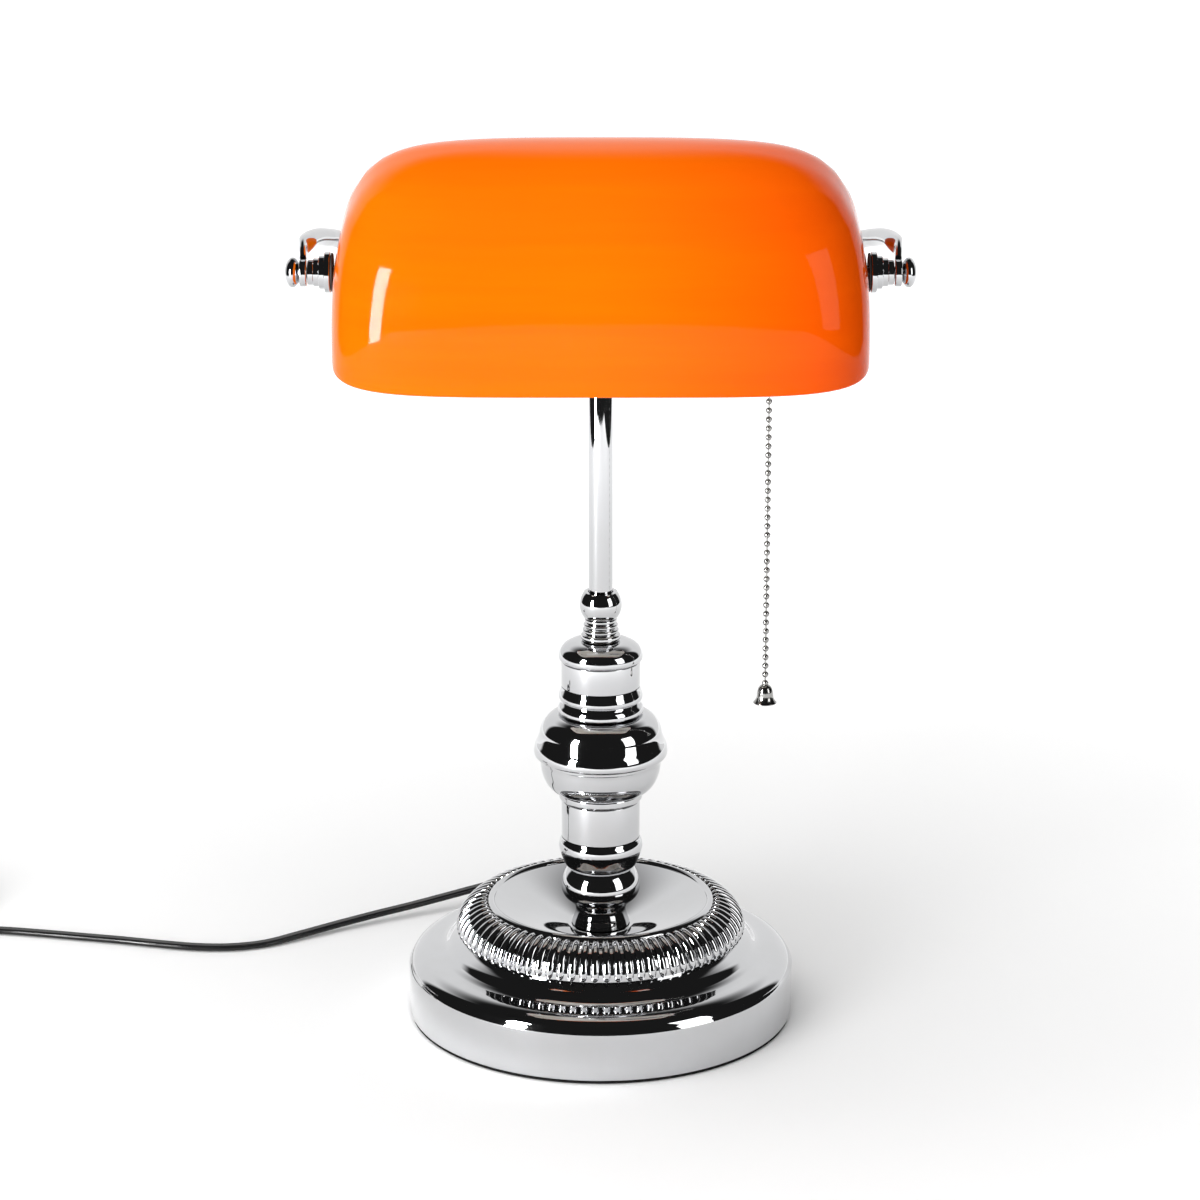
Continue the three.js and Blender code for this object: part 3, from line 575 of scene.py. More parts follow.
def circleLine(radius, middle=(0, 0), sides=32):
    turns = [2 * math.pi * i / sides for i in range(sides)]
    return [(middle[0] + radius * math.cos(turn), middle[1] + radius * math.sin(turn)) for turn in turns]


def stampedPiece(name, lines, thickness, edge, turn, finish):
    outline = bpy.data.curves.new(name, "CURVE")
    outline.dimensions = "2D"
    outline.fill_mode = "BOTH"
    outline.extrude = (thickness / 2 - edge) * mm
    outline.bevel_depth = edge * mm
    outline.bevel_resolution = 1
    outline.offset = -edge * mm
    for line in lines:
        spline = outline.splines.new("POLY")
        spline.points.add(len(line) - 1)
        for point, (u, v) in zip(spline.points, line):
            point.co = (u * mm, v * mm, 0, 1)
        spline.use_cyclic_u = True
    drawn = bpy.data.objects.new(name, outline)
    scene.collection.objects.link(drawn)
    bpy.context.view_layer.update()
    mesh = bpy.data.meshes.new_from_object(drawn.evaluated_get(bpy.context.evaluated_depsgraph_get()))
    bpy.data.objects.remove(drawn)
    mesh.transform(turn)
    mesh.name = name
    mesh.materials.clear()
    mesh.materials.append(finish)
    work = bmesh.new()
    work.from_mesh(mesh)
    bmesh.ops.remove_doubles(work, verts=work.verts, dist=1e-6)
    bmesh.ops.recalc_face_normals(work, faces=work.faces)
    work.to_mesh(mesh)
    work.free()
    mesh.shade_smooth()
    mesh.set_sharp_from_angle(angle=math.radians(28))
    piece = bpy.data.objects.new(name, mesh)
    scene.collection.objects.link(piece)
    return piece


bladeLook = {
    "start": -428.2,
    "length": 17.0,
    "high": 6.3,
    "thick": 1.5,
    "spread": 12.7,
    "hole": 1.5,
    "holeFromTip": 4.2,
    "edge": 0.25,
}


def makeBlade(look, name, side):
    low, high, long = -look["high"] / 2, look["high"] / 2, look["length"]
    outline = [(0, low), (long - 2, low), (long - 0.6, low + 0.8), (long, low + 2), (long, high - 2)]
    outline += [(long - 0.6, high - 0.8), (long - 2, high), (0, high)]
    hole = circleLine(look["hole"], (long - look["holeFromTip"], 0), 20)
    across = plugLook["y"] + side * look["spread"] / 2
    turn = Matrix(((-1, 0, 0), (0, 0, 1), (0, 1, 0))).to_4x4()
    turn.translation = (look["start"] * mm, across * mm, plugLook["level"] * mm)
    return stampedPiece(name, [outline, hole], look["thick"], look["edge"], turn, bladeBrass)


bladeA = settle(makeBlade(bladeLook, "plug_blade_a", -1), "base", "plug_metal", "plug_prong_a")
bladeB = settle(makeBlade(bladeLook, "plug_blade_b", 1), "base", "plug_metal", "plug_prong_b")


# repeats: one shape set out in a row or round the axis by Geometry Nodes


def repeatTree(name):
    tree = bpy.data.node_groups.new(name, "GeometryNodeTree")
    for label, kind in (
        ("Shape", "NodeSocketGeometry"),
        ("Count", "NodeSocketInt"),
        ("Step", "NodeSocketVector"),
        ("Turn", "NodeSocketFloat"),
        ("Finish", "NodeSocketMaterial"),
    ):
        tree.interface.new_socket(label, in_out="INPUT", socket_type=kind)
    tree.interface.new_socket("Shape", in_out="OUTPUT", socket_type="NodeSocketGeometry")
    link = tree.links.new
    given = tree.nodes.new("NodeGroupInput")
    made = tree.nodes.new("NodeGroupOutput")
    row = tree.nodes.new("GeometryNodeMeshLine")
    row.mode = "OFFSET"
    number = tree.nodes.new("GeometryNodeInputIndex")
    multiply = tree.nodes.new("ShaderNodeMath")
    multiply.operation = "MULTIPLY"
    angles = tree.nodes.new("ShaderNodeCombineXYZ")
    copies = tree.nodes.new("GeometryNodeInstanceOnPoints")
    realize = tree.nodes.new("GeometryNodeRealizeInstances")
    paint = tree.nodes.new("GeometryNodeSetMaterial")
    link(given.outputs["Count"], row.inputs["Count"])
    link(given.outputs["Step"], row.inputs["Offset"])
    link(number.outputs["Index"], multiply.inputs[0])
    link(given.outputs["Turn"], multiply.inputs[1])
    link(multiply.outputs["Value"], angles.inputs["Z"])
    link(row.outputs["Mesh"], copies.inputs["Points"])
    link(given.outputs["Shape"], copies.inputs["Instance"])
    link(angles.outputs["Vector"], copies.inputs["Rotation"])
    link(copies.outputs["Instances"], realize.inputs["Geometry"])
    link(realize.outputs["Geometry"], paint.inputs["Geometry"])
    link(given.outputs["Finish"], paint.inputs["Material"])
    link(paint.outputs["Geometry"], made.inputs["Shape"])
    return tree


def repeated(name, source, treeName, **values):
    # values are set by the sockets' identifiers before the tree is first worked out
    tree = repeatTree(treeName)
    setOut = source.modifiers.new(treeName, "NODES")
    setOut.node_group = tree
    for item in tree.interface.items_tree:
        if item.in_out == "INPUT" and item.name in values:
            setOut[item.identifier] = values[item.name]
    bpy.context.view_layer.update()
    mesh = bpy.data.meshes.new_from_object(source.evaluated_get(bpy.context.evaluated_depsgraph_get()))
    source.modifiers.remove(setOut)
    bpy.data.objects.remove(source)
    mesh.name = name
    piece = bpy.data.objects.new(name, mesh)
    scene.collection.objects.link(piece)
    return piece


# base: pad, spun cover and the ribbed collar

baseLook = {
    "radius": 85.1,
    "bottom": 1.5,
    "wallTop": 22.6,
    "sheet": 1.4,
    "shoulder": 75.6,  # radius to the middle of the rounded shoulder
    "shoulderRound": (8.9, 6.2),
    "collar": (48.6, 38),  # radius and height of the middle of the rounded collar
    "collarRound": (13.9, 12.6),
    "ribs": 78,
    "ribRound": (13.8, 12.7),
    "ribTop": 86,  # degrees up the collar
    "ribSweep": 92,
    "ribRelief": 1.6,
    "ribHalfWide": 1.7,
    "ribWidens": 0.2,
    "sides": 192,
    "pad": 84.4,
    "padThick": 1.2,
}


def coverLine(look):
    wall, top = look["radius"], look["wallTop"]
    outer = [(wall - 0.3, look["bottom"]), (wall, look["bottom"] + 0.5), (wall, top - 1.0), (wall, top)]
    outer += arcLine(look["shoulder"], top, *look["shoulderRound"], 9, 82, 16)
    outer += [(75.2, 29.0), (72.0, 29.35), (69.9, 29.9), (68.4, 31.0), (67.2, 32.4), (65.6, 33.7)]
    outer += [(63.4, 34.9), (62.3, 36.0)]
    outer += arcLine(*look["collar"], *look["collarRound"], 2, 82, 16)
    outer += [(50.1, 51.4), (49.6, 52.0), (49.0, 52.5), (48.3, 52.6), (47.4, 52.3), (46.9, 51.5)]
    outer += [(46.2, 51.4), (45.4, 51.4), (14.9, 40.35), (14.2, 40.2), (5.05, 40.2)]
    return outer


def innerLine(outer, sheet):
    # the outer line moved in by the sheet's thickness, and back the other way
    line = []
    for i, (r, z) in enumerate(outer):
        before, after = outer[max(i - 1, 0)], outer[min(i + 1, len(outer) - 1)]
        dr, dz = after[0] - before[0], after[1] - before[1]
        length = math.hypot(dr, dz)
        if i in (0, len(outer) - 1):
            line.append((r - sheet, z) if i == 0 else (r, z - sheet))
        else:
            line.append((r - dz / length * sheet, z + dr / length * sheet))
    return line[::-1]


def ribShape(look):
    # one raised finger from the rim down over the collar, rounded at both ends
    rows, around = 15, 9
    firstShare, lastShare = 0.06, 0.2  # of the length, where it rounds off
    (middleR, middleZ), (reachR, reachZ) = look["collar"], look["ribRound"]
    points, faces = [], []
    for i in range(rows):
        t = i / (rows - 1)
        angle = math.radians(look["ribTop"] - look["ribSweep"] * t)
        r, z = middleR + reachR * math.cos(angle), middleZ + reachZ * math.sin(angle)
        normal = (math.cos(angle), math.sin(angle))
        endEase = 1
        if t > 1 - lastShare:
            endEase = math.sqrt(max(0, 1 - ((t - (1 - lastShare)) / lastShare) ** 2))
        elif t < firstShare:
            endEase = math.sqrt(1 - ((firstShare - t) / firstShare) ** 2)
        endEase = max(endEase, 0.05)
        half = (look["ribHalfWide"] + look["ribWidens"] * t) * endEase
        relief = look["ribRelief"] * endEase * (1.1 if t > 0.6 else 0.9 + 0.33 * t)
        for k in range(around):
            turn = math.pi * k / (around - 1)
            sideways = half * math.cos(turn)
            out = relief * math.sin(turn) ** 0.8 if 0 < k < around - 1 else -0.5
            radius, height = r + normal[0] * out, z + normal[1] * out
            swing = sideways / radius
            points.append((radius * math.cos(swing), radius * math.sin(swing), height))
    for i in range(rows - 1):
        for k in range(around):
            j = (k + 1) % around
            faces.append([i * around + k, i * around + j, (i + 1) * around + j, (i + 1) * around + k])
    faces += [list(range(around)), [(rows - 1) * around + k for k in range(around)]]
    return points, faces


def makeBase(look):
    outer = coverLine(look)
    line = outer + innerLine(outer, look["sheet"])
    cover = makePiece("spun_cover", turnedShape(line, look["sides"]), [mirrorChrome], sharp=40)
    settle(cover, "base", "chrome", "base_cover")
    rib = makePiece("one_rib", ribShape(look), [mirrorChrome], sharp=60)
    ribs = repeated(
        "collar_ribs",
        rib,
        "ribsRoundCollar",
        Count=look["ribs"],
        Step=(0.0, 0.0, 0.0),
        Turn=2 * math.pi / look["ribs"],
        Finish=mirrorChrome,
    )
    settle(ribs, "base", "chrome")
    wide, thick = look["pad"], look["padThick"]
    pad = eased([(0, 0), (wide, 0, 0.2), (wide, thick, 0.2), (0, thick)])
    settle(makePiece("felt_pad", turnedShape(pad, 128), [feltPad]), "base", "felt", "foot_pad")


makeBase(baseLook)
print("base spun")


# column: turned pieces threaded on one rod

columnLook = {"bore": 5.05, "cylinder": 17.2, "ring": 18.3, "vase": 29.25, "bowl": 26.45, "sides": 96}


def turnedColumn(look, name, node, outline):
    low, high = outline[0][1], outline[-1][1]
    line = [(look["bore"], low)] + outline + [(look["bore"], high)]
    piece = makePiece(name, turnedShape(eased(line), look["sides"]), [mirrorChrome], sharp=36)
    return settle(piece, "base", "chrome", node)


def makeColumn(look):
    plain, ring, vase, bowl = look["cylinder"], look["ring"], look["vase"], look["bowl"]
    foot = [(12.9, 40.5), (12.5, 41.7), (11.5, 44.6), (11.1, 47.4), (11.9, 49.6), (13.9, 51.6)]
    foot += [(16.2, 53.8), (17.3, 56.4), (17.4, 58.6), (17.0, 61.2), (16.1, 63.8), (15.1, 65.6), (14.2, 66.8)]
    foot = curvedLine(foot)
    turnedColumn(look, "turned_foot", "column_foot", foot)
    cup = [(14.6, 67.1), (16.2, 69.5), (17.3, 72.4), (18.1, 75), (18.4, 76.8), (18.3, 78.0), (18.0, 79.4)]
    cup = curvedLine(cup + [(17.4, 80.6), (17.2, 81.2)])
    turnedColumn(look, "turned_cup", "column_cup", cup)
    turnedColumn(look, "lower_sleeve", "lower_column", [(plain, 81.5, 0.25), (plain, 98.4, 0.25)])
    lower = [(ring - 0.8, 98.7, 0.4), (ring, 99.5, 0.6), (ring, 101.9, 0.6), (ring - 0.4, 102.6, 0.3)]
    lower += arcLine(17.9, 116.8, bowl - 17.9, 14.2, -86, 0, 14)
    lower += [(bowl + 0.4, 117.6, 0.4), (bowl + 0.4, 118.4)]
    turnedColumn(look, "vase_bowl", "lower_vase", lower)
    upper = [(vase - 1.9, 118.7), (vase - 0.5, 119.3), (vase, 120.5), (vase - 0.1, 122.1)]
    upper += [(vase - 0.6, 124.3), (vase - 1.5, 126.1)]
    upper += arcLine(ring, 127.9, vase - 2.4 - ring, 10.3, 8, 90, 9)
    upper = curvedLine(upper)
    turnedColumn(look, "vase_lid", "upper_vase", upper)
    lowRing = [(17.4, 138.5), (18.6, 139.2), (18.7, 140.6), (18.3, 142.1), (17.4, 143.5), (17.1, 144.3)]
    highRing = [(17.4, 144.6), (18.2, 145.3), (18.3, 146.7), (17.9, 148.2), (17.4, 149.5), (17.1, 150.6)]
    rings = curvedLine(lowRing) + curvedLine(highRing)
    turnedColumn(look, "bead_rings", "column_rings", rings)
    turnedColumn(look, "upper_sleeve", "upper_column", [(plain, 150.9, 0.25), (plain, 162.2, 0.25)])
    cap = [(ring - 0.9, 162.5), (ring - 0.1, 163.3), (ring, 164.6), (ring - 0.3, 166.3), (ring - 1.1, 167.9)]
    cap = curvedLine(cap + [(ring - 2.5, 169.3), (ring - 4.5, 170.4), (ring - 6.9, 171.1), (9.2, 171.3)])
    turnedColumn(look, "column_lid", "column_cap", cap)


makeColumn(columnLook)

stemLook = {
    "tube": 5.2,
    "wall": 0.9,
    "ball": 9.2,
    "ballMiddle": 187.4,
    "neck": 5.8,
    "counterbore": 5.5,
    "hub": 9.0,
    "hubMiddle": 289,
    "hubHalf": 6,
}


def makeStem(look):
    collar = [(8.2, 171.6, 0.3), (8.6, 172.4, 0.5), (8.6, 174.0, 0.5), (7.3, 174.8, 0.4), (7.9, 175.5, 0.4)]
    collar += [(7.9, 176.5, 0.4), (6.8, 177.2, 0.3), (7.5, 177.9, 0.4), (7.5, 178.8, 0.4), (6.5, 179.4, 0.3)]
    collar += [(7.1, 180.2, 0.4), (7.0, 181.3, 0.3)]
    turnedColumn(columnLook, "stem_ferrule", "stem_collar", collar)
    cut = math.degrees(math.asin(look["neck"] / look["ball"]))
    bore, wider = columnLook["bore"], look["counterbore"]
    ball = [(bore, 181.6)] + arcLine(0, look["ballMiddle"], look["ball"], look["ball"], -cut, cut, 18)
    ball += [(wider, 193.2), (wider, 187.1), (bore, 187.1)]
    piece = makePiece("stem_knop", turnedShape(ball), [mirrorChrome])
    settle(piece, "base", "chrome", "stem_ball")
    inside = look["tube"] - look["wall"]
    low, high = look["ballMiddle"], look["hubMiddle"]
    tube = [(inside, low), (look["tube"], low, 0.2), (look["tube"], high, 0.2), (inside, high)]
    piece = makePiece("stem_pipe", turnedShape(eased(tube), 64), [mirrorChrome])
    settle(piece, "base", "chrome", "stem_tube")
    hub, middle, half = look["hub"], look["hubMiddle"], look["hubHalf"]
    line = [(wider, middle - half), (hub - 0.4, middle - half, 1.2), (hub, middle - 4.6, 0.6)]
    line += [(hub, middle + 4.6, 0.6), (hub - 0.4, middle + half, 1.2), (wider, middle + half)]
    settle(makePiece("arm_hub", turnedShape(eased(line), 64), [mirrorChrome]), "base", "chrome", "yoke_hub")


makeStem(stemLook)
print("column and stem turned")


# yoke arms: round rod, flattened to an eye at the shade

armLook = {
    "rod": 4.0,
    "eye": 6.0,
    "eyeThick": 3.0,
    "eyeMiddle": 125.02,
    "pivot": 333,
    "bore": 2.5,
    "root": 9.4,  # how far from the stem's axis the rod starts
    "rootHigh": 289,
    "rootTurn": 55,  # degrees towards the back
    "flat": 6,  # how far from its end the rod stays flat
    "taper": 14,  # and then takes to grow round
}


def makeArm(look, side, name, node):
    z, far, turn = look["pivot"], look["eyeMiddle"], math.radians(look["rootTurn"])
    corners = [
        (reach * math.cos(turn), reach * math.sin(turn), height)
        for reach, height in ((look["root"], look["rootHigh"]), (15, 288.2))
    ]
    corners += [(14.5, 24, 282), (25, 42.3, 280), (40, 65, z - 50), (60, 77.4, z - 36)]
    corners += [(far - 45, 80.6, z - 17), (far - 24, 74.6, z - 4), (far - 10.5, 57.2, z + 3.4)]
    corners += [(far - 6.3, 44.2, z + 6.6)]
    corners += [(far - 3, 31.9, z + 8.8), (far - 0.5, 18.9, z + 9.6), (far + 0.5, 9.1, z + 8.8)]
    corners += [(far + 0.3, 3.9, z + 7), (far, 1, z + 4.6)]
    line = smoothLine([(x * side, y, h) for x, y, h in corners], 10)[::-1]
    rod = look["rod"]

    def section(i):
        # flat beside the eye, round again within two centimetres
        run = sum((line[k + 1] - line[k]).length for k in range(i))
        roundness = smoothStep((run - look["flat"]) / look["taper"])
        wide = look["eyeThick"] / 2 + (rod - look["eyeThick"] / 2) * roundness
        return ovalSection(wide, rod + 0.5 * (1 - roundness), 24, 3.2 - 1.2 * roundness)

    half = look["eyeThick"] / 2
    eye = [(look["bore"], far - half), (look["eye"], far - half, 0.5), (look["eye"], far + half, 0.5)]
    eye += [(look["bore"], far + half)]
    ring = laidAlongX(turnedShape(eased(eye), 56), (0, 0, z), side)
    shape = joined(sweptShape(line, section, Vector((1, 0, 0))), ring)
    piece = makePiece(name, shape, [mirrorChrome], sharp=42)
    return settle(piece, "base", "chrome", node)


makeArm(armLook, -1, "left_yoke_arm", "left_arm")
makeArm(armLook, 1, "right_yoke_arm", "right_arm")
print("yoke bent")


# shade: cased glass, orange outside and opal inside, with a rounded lip

shadeLook = {
    "halfLong": 112.5,
    "halfDeep": 65,
    "high": 84.5,
    "glass": 3.0,
    "lip": 29,  # below the pivot
    "pivot": 333,
    "tilt": 11,
    "around": 160,
    "endPowers": (3, 6),  # how the long ends and the sides close towards the crown
    "sidePowers": (2.4, 2.2),
    "rimCorner": 5.2,  # how square it is seen from above, at the rim
    "crownCorner": 3.0,
    "steepUntil": 0.7,
    "lipReach": 0.04,
}
shadeTurn = Matrix.Translation((0, 0, shadeLook["pivot"])) @ Matrix.Rotation(
    math.radians(shadeLook["tilt"]), 4, "X"
)


def inShade(shape):
    points, faces = shape
    return [tuple(shadeTurn @ Vector(p)) for p in points], faces


def shadeRing(look, share, off):
    # the level outline at a share of the height, moved in by off
    (endIn, endOut), (sideIn, sideOut) = look["endPowers"], look["sidePowers"]
    along = (look["halfLong"] - off) * (1 - share**endIn) ** (1 / endOut)
    across = (look["halfDeep"] - off) * (1 - share**sideIn) ** (1 / sideOut)
    height = share * (look["high"] - off) - look["lip"]
    corner = look["rimCorner"] - (look["rimCorner"] - look["crownCorner"]) * share
    return [(x, y, height) for x, y in ovalSection(along, across, look["around"], corner)]


def makeShade(look):
    # rings by even steps of height up the wall, then by even steps of length over the crown
    steep, (endIn, endOut) = look["steepUntil"], look["endPowers"]
    shares = [steep * i / 16 for i in range(17)]
    start = (1 - steep**endIn) ** (1 / endOut)
    shares += [(1 - (start * (1 - i / 18)) ** endOut) ** (1 / endIn) for i in range(1, 18)]
    outside = [shadeRing(look, share, 0) for share in shares]
    inside = [shadeRing(look, share, look["glass"]) for share in shares]
    lift = look["glass"] / 2
    lip = []
    for i in range(1, 8):
        angle = math.pi * i / 8
        blend = 0.5 - 0.5 * math.cos(angle)
        ring = shadeRing(look, 0, look["glass"] * blend)
        lip.append([(x, y, z + lift * (1 - math.sin(angle))) for x, y, z in ring])

    def raised(rings):
        # the lowest rings start where the lip's round ends
        rises = [lift * (1 - min(share / look["lipReach"], 1)) for share in shares]
        return [[(x, y, z + rise) for x, y, z in ring] for rise, ring in zip(rises, rings)]

    rows = raised(outside)[::-1] + lip + raised(inside)
    points = [p for row in rows for p in row]
    n, faces, finishOf = look["around"], [], []
    for i in range(len(rows) - 1):
        for k in range(n):
            j = (k + 1) % n
            faces.append([i * n + k, i * n + j, (i + 1) * n + j, (i + 1) * n + k])
            finishOf.append(0 if i < len(outside) + 2 else 1)
    top = look["high"] - look["lip"]
    points += [(0, 0, top), (0, 0, top - look["glass"])]
    for k in range(n):
        j = (k + 1) % n
        faces.append([len(points) - 2, k, j])
        finishOf.append(0)
        base = (len(rows) - 1) * n
        faces.append([len(points) - 1, base + k, base + j])
        finishOf.append(1)
    piece = makePiece("cased_glass_shade", inShade((points, faces)), [orangeCasing, opalLining], finishOf, 70)
    return settle(piece, "shade", "shade_glass", "shade_glass")


makeShade(shadeLook)
print("shade blown")

mountLook = {
    "bore": 2.5,
    "stud": 2.2,
    "outerWasher": 8.2,
    "innerWasher": 7,
    "spacerStart": 113.6,
    "spacerEnd": 123.2,
    "steps": (8.6, 7.0, 5.9, 5.3),
}
knobLook = {"start": 126.8, "radius": 6.4, "length": 6.1, "bore": 2.5}


def pivotSpan(node):
    # where a CAD node starts and ends along the pivot, in millimetres
    return [corner.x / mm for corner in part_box(node)]


def makeMounts(look, side, label):
    def onSide(name, line, node, finish, slot, sides=56):
        shape = inShade(laidAlongX(turnedShape(eased(line), sides), (0, 0, 0), side))
        return settle(makePiece(label + name, shape, [finish]), "shade", slot, label + node)

    def washer(name, node, radius):
        low, high = pivotSpan("right" + node)
        line = [(look["bore"], low), (radius, low, 0.25), (radius, high, 0.25), (look["bore"], high)]
        onSide(name, line, node, washerRubber, "rubber")

    washer("_seat_washer", "_outer_washer", look["outerWasher"])
    step = (look["spacerEnd"] - look["spacerStart"]) / len(look["steps"])
    line = [(look["bore"], look["spacerStart"])]
    for i, radius in enumerate(look["steps"]):
        start = look["spacerStart"] + i * step
        line += [(radius, start, 0.35), (radius, start + step, 0.45)]
    line.append((look["bore"], look["spacerEnd"]))
    onSide("_stepped_spacer", line, "_spacer", mirrorChrome, "chrome")
    washer("_lining_washer", "_inner_washer", look["innerWasher"])
    low, high = pivotSpan("right_pivot_stud")
    line = [(0, low), (look["stud"], low, 0.4), (look["stud"], high, 0.4), (0, high)]
    onSide("_stud", line, "_pivot_stud", plainSteel, "plain_steel", 32)


def makeKnob(look, side, name, node, body):
    start, radius, bore = look["start"], look["radius"], look["bore"]
    line = [(bore, start), (radius - 2.4, start, 0.3)]
    line += arcLine(0, start + 0.45 * look["length"], radius, look["length"] * 0.55, -42, 90, 16)
    line += [(0, start + 3.8), (bore, start + 3.8)]
    shape = laidAlongX(turnedShape(eased(line), 56), (0, 0, shadeLook["pivot"]), side)
    settle(makePiece(name, shape, [mirrorChrome], sharp=45), body, "chrome", node)


for side, label in ((-1, "left"), (1, "right")):
    makeMounts(mountLook, side, label)
    makeKnob(knobLook, side, label + "_thumb_nut", label + "_knob", label + "_knob")
print("pivots fitted")


# lampholder, bulb and pull switch

holderLook = {
    "axis": 325,
    "radius": 15,
    "wall": 1.2,
    "mouth": 46,
    "end": 79.7,
    "sides": 64,
    "hole": 1.8,  # radius of the pull chain's hole
    "holeAt": 71.6,
    "holeSides": 24,
}
bulbLook = {
    "radius": 15,
    "glass": 1,
    "domeStart": -49.3,
    "cap": 12.2,
    "thread": 12.95,
    "turns": 5,
    "pitch": 3.0,
}


def aboutHolder(name, line, node, body, finish, slot):
    shape = laidAlongX(turnedShape(line, holderLook["sides"]), (0, 0, holderLook["axis"]))
    return settle(makePiece(name, shape, [finish]), body, slot, node)


def drilled(piece, drill):
    # takes the drill's shape out of the piece
    cut = piece.modifiers.new("hole", "BOOLEAN")
    cut.object, cut.solver, cut.operation = drill, "EXACT", "DIFFERENCE"
    bored = bpy.data.meshes.new_from_object(piece.evaluated_get(bpy.context.evaluated_depsgraph_get()))
    piece.modifiers.clear()
    bored.name = piece.name
    piece.data = bored
    bored.set_sharp_from_angle(angle=math.radians(sharpEdge))
    bpy.data.objects.remove(drill)
    return piece


def makeHolder(look):
    r, wall = look["radius"], look["wall"]
    shell = [(r - wall, look["mouth"], 0.3), (r, look["mouth"], 0.5), (r, look["mouth"] + 2.4, 0.5)]
    shell += [(r - 0.5, look["mouth"] + 3.2, 0.4), (r - 0.5, look["end"] - 7, 0.4), (r, look["end"] - 6, 0.5)]
    shell += [(r, look["end"], 0.3), (r - wall, look["end"], 0.3)]
    shape = laidAlongX(turnedShape(eased(shell), look["sides"]), (0, 0, look["axis"]))
    tube = makePiece("holder_shell", shape, [shellNickel])
    low, high = look["axis"] - r - 4, look["axis"] - r + 9
    hole = turnedShape([(0, low), (look["hole"], low), (look["hole"], high), (0, high)], look["holeSides"])
    drill = makePiece("chain_hole", movedBy(hole, (look["holeAt"], 0, 0)), [shellNickel])
    settle(drilled(tube, drill), "base", "socket_metal", "socket_shell")
    cap = [(4.9, 80), (r, 80, 0.4), (r, 83.4, 0.8), (13.6, 87, 2), (10, 91.4, 1.5), (9.4, 93.4, 0.4)]
    cap.append((4.9, 93.4))
    aboutHolder("holder_cap", eased(cap), "socket_cap", "base", shellNickel, "socket_metal")


def makeBulb(look):
    cap, thread = look["cap"], look["thread"]
    screw = [(0, 41.2), (11.6, 41.2, 0.4)]
    for i in range(look["turns"]):
        low = 43.4 + look["pitch"] * i
        screw += [(cap, low), (thread, low + 0.9, 0.6), (thread, low + 1.5, 0.6), (cap, low + 2.4)]
    screw += [(cap, 58.4, 0.4), (7, 63, 0.6), (4.8, 63.6, 0.4), (4.4, 64, 0.3), (0, 64)]
    aboutHolder("bulb_screw_cap", eased(screw), "bulb_cap", "bulb", plainSteel, "bulb_metal")
    glass, dome = look["glass"], look["domeStart"]
    outer = [(12, 40.7), (12.6, 39.4), (14.2, 36.6), (14.8, 34.7)]
    outer += arcLine(0, dome, look["radius"], look["radius"], 0, -90, 16)
    inner = [(max(radius - glass, 0), x + (glass if x <= dome else 0)) for radius, x in outer][::-1]
    aboutHolder("tube_bulb", outer + inner, "bulb_glass", "bulb", bulbOpal, "bulb_glass")


makeHolder(holderLook)
makeBulb(bulbLook)

pullLook = {
    "x": 71.6,
    "bead": 1.4,
    "wire": 0.32,
    "wireLong": 1.2,
    "pitch": 3.93,
    "beads": 38,
    "top": 299.6,
    "bellBottom": 142.4,
}


def onChain(name, line, node, body, finish, slot, sides=40):
    shape = movedBy(turnedShape(line, sides), (pullLook["x"], 0, 0))
    return settle(makePiece(name, shape, [finish]), body, slot, node)


def makePull(look):
    guide = [(1.7, 303.3), (4.2, 303.3, 0.4), (3.4, 304.6, 0.6), (3.0, 305.4, 0.6), (3.0, 307.6, 0.6)]
    guide += [(3.6, 308.8, 0.5), (4.8, 309.7, 0.2), (1.7, 309.7)]
    onChain("pull_guide", eased(guide), "chain_guide", "base", shellNickel, "chain_metal")
    linkLine = [(0, 299.9), (1.2, 300.3, 0.3), (1.6, 301.3, 0.5), (1.0, 302.5, 0.4)]
    linkLine += [(1.0, 320.5, 0.2), (0, 320.5)]
    onChain("pull_rod", eased(linkLine), "pull_link", "pull_switch", beadNickel, "chain_metal")
    # one bead with the short wire that joins it to the next
    ball, wire, long = look["bead"], look["wire"], look["wireLong"]
    line = [(0, ball + long), (wire, ball + long), (wire, ball * 0.95)]
    line += arcLine(0, 0, ball, ball, 70, -70, 6) + [(0, -ball)]
    shape = movedBy(turnedShape(line, 12), (look["x"], 0, look["top"] - ball - long))
    bead = makePiece("one_bead", shape, [beadNickel], sharp=60)
    chain = repeated(
        "ball_chain",
        bead,
        "beadsDownChain",
        Count=look["beads"],
        Step=(0.0, 0.0, -look["pitch"] * mm),
        Turn=0.0,
        Finish=beadNickel,
    )
    settle(chain, "pull_chain", "chain_metal", "bead_chain")
    low = look["bellBottom"]
    bell = [(0, low + 4.6), (2.4, low + 4.0, 0.8), (3.0, low + 2.4, 0.6), (4.2, low + 0.7, 0.4)]
    bell += [(5.0, low + 0.15, 0.2), (5.15, low + 0.4, 0.2), (4.4, low + 1.3, 0.5), (3.75, low + 2.3, 0.6)]
    bell += [(3.5, low + 3.6, 0.6), (3.45, low + 5.2, 0.7), (3.05, low + 6.8, 0.7), (2.2, low + 8.0, 0.7)]
    bell += [(1.0, low + 8.6, 0.4), (0, low + 8.6)]
    onChain("chain_bell_end", eased(bell), "chain_bell", "pull_chain", beadNickel, "chain_metal")


makePull(pullLook)
print("lampholder and pull made")


# the CAD pieces that stay, each with a worked finish

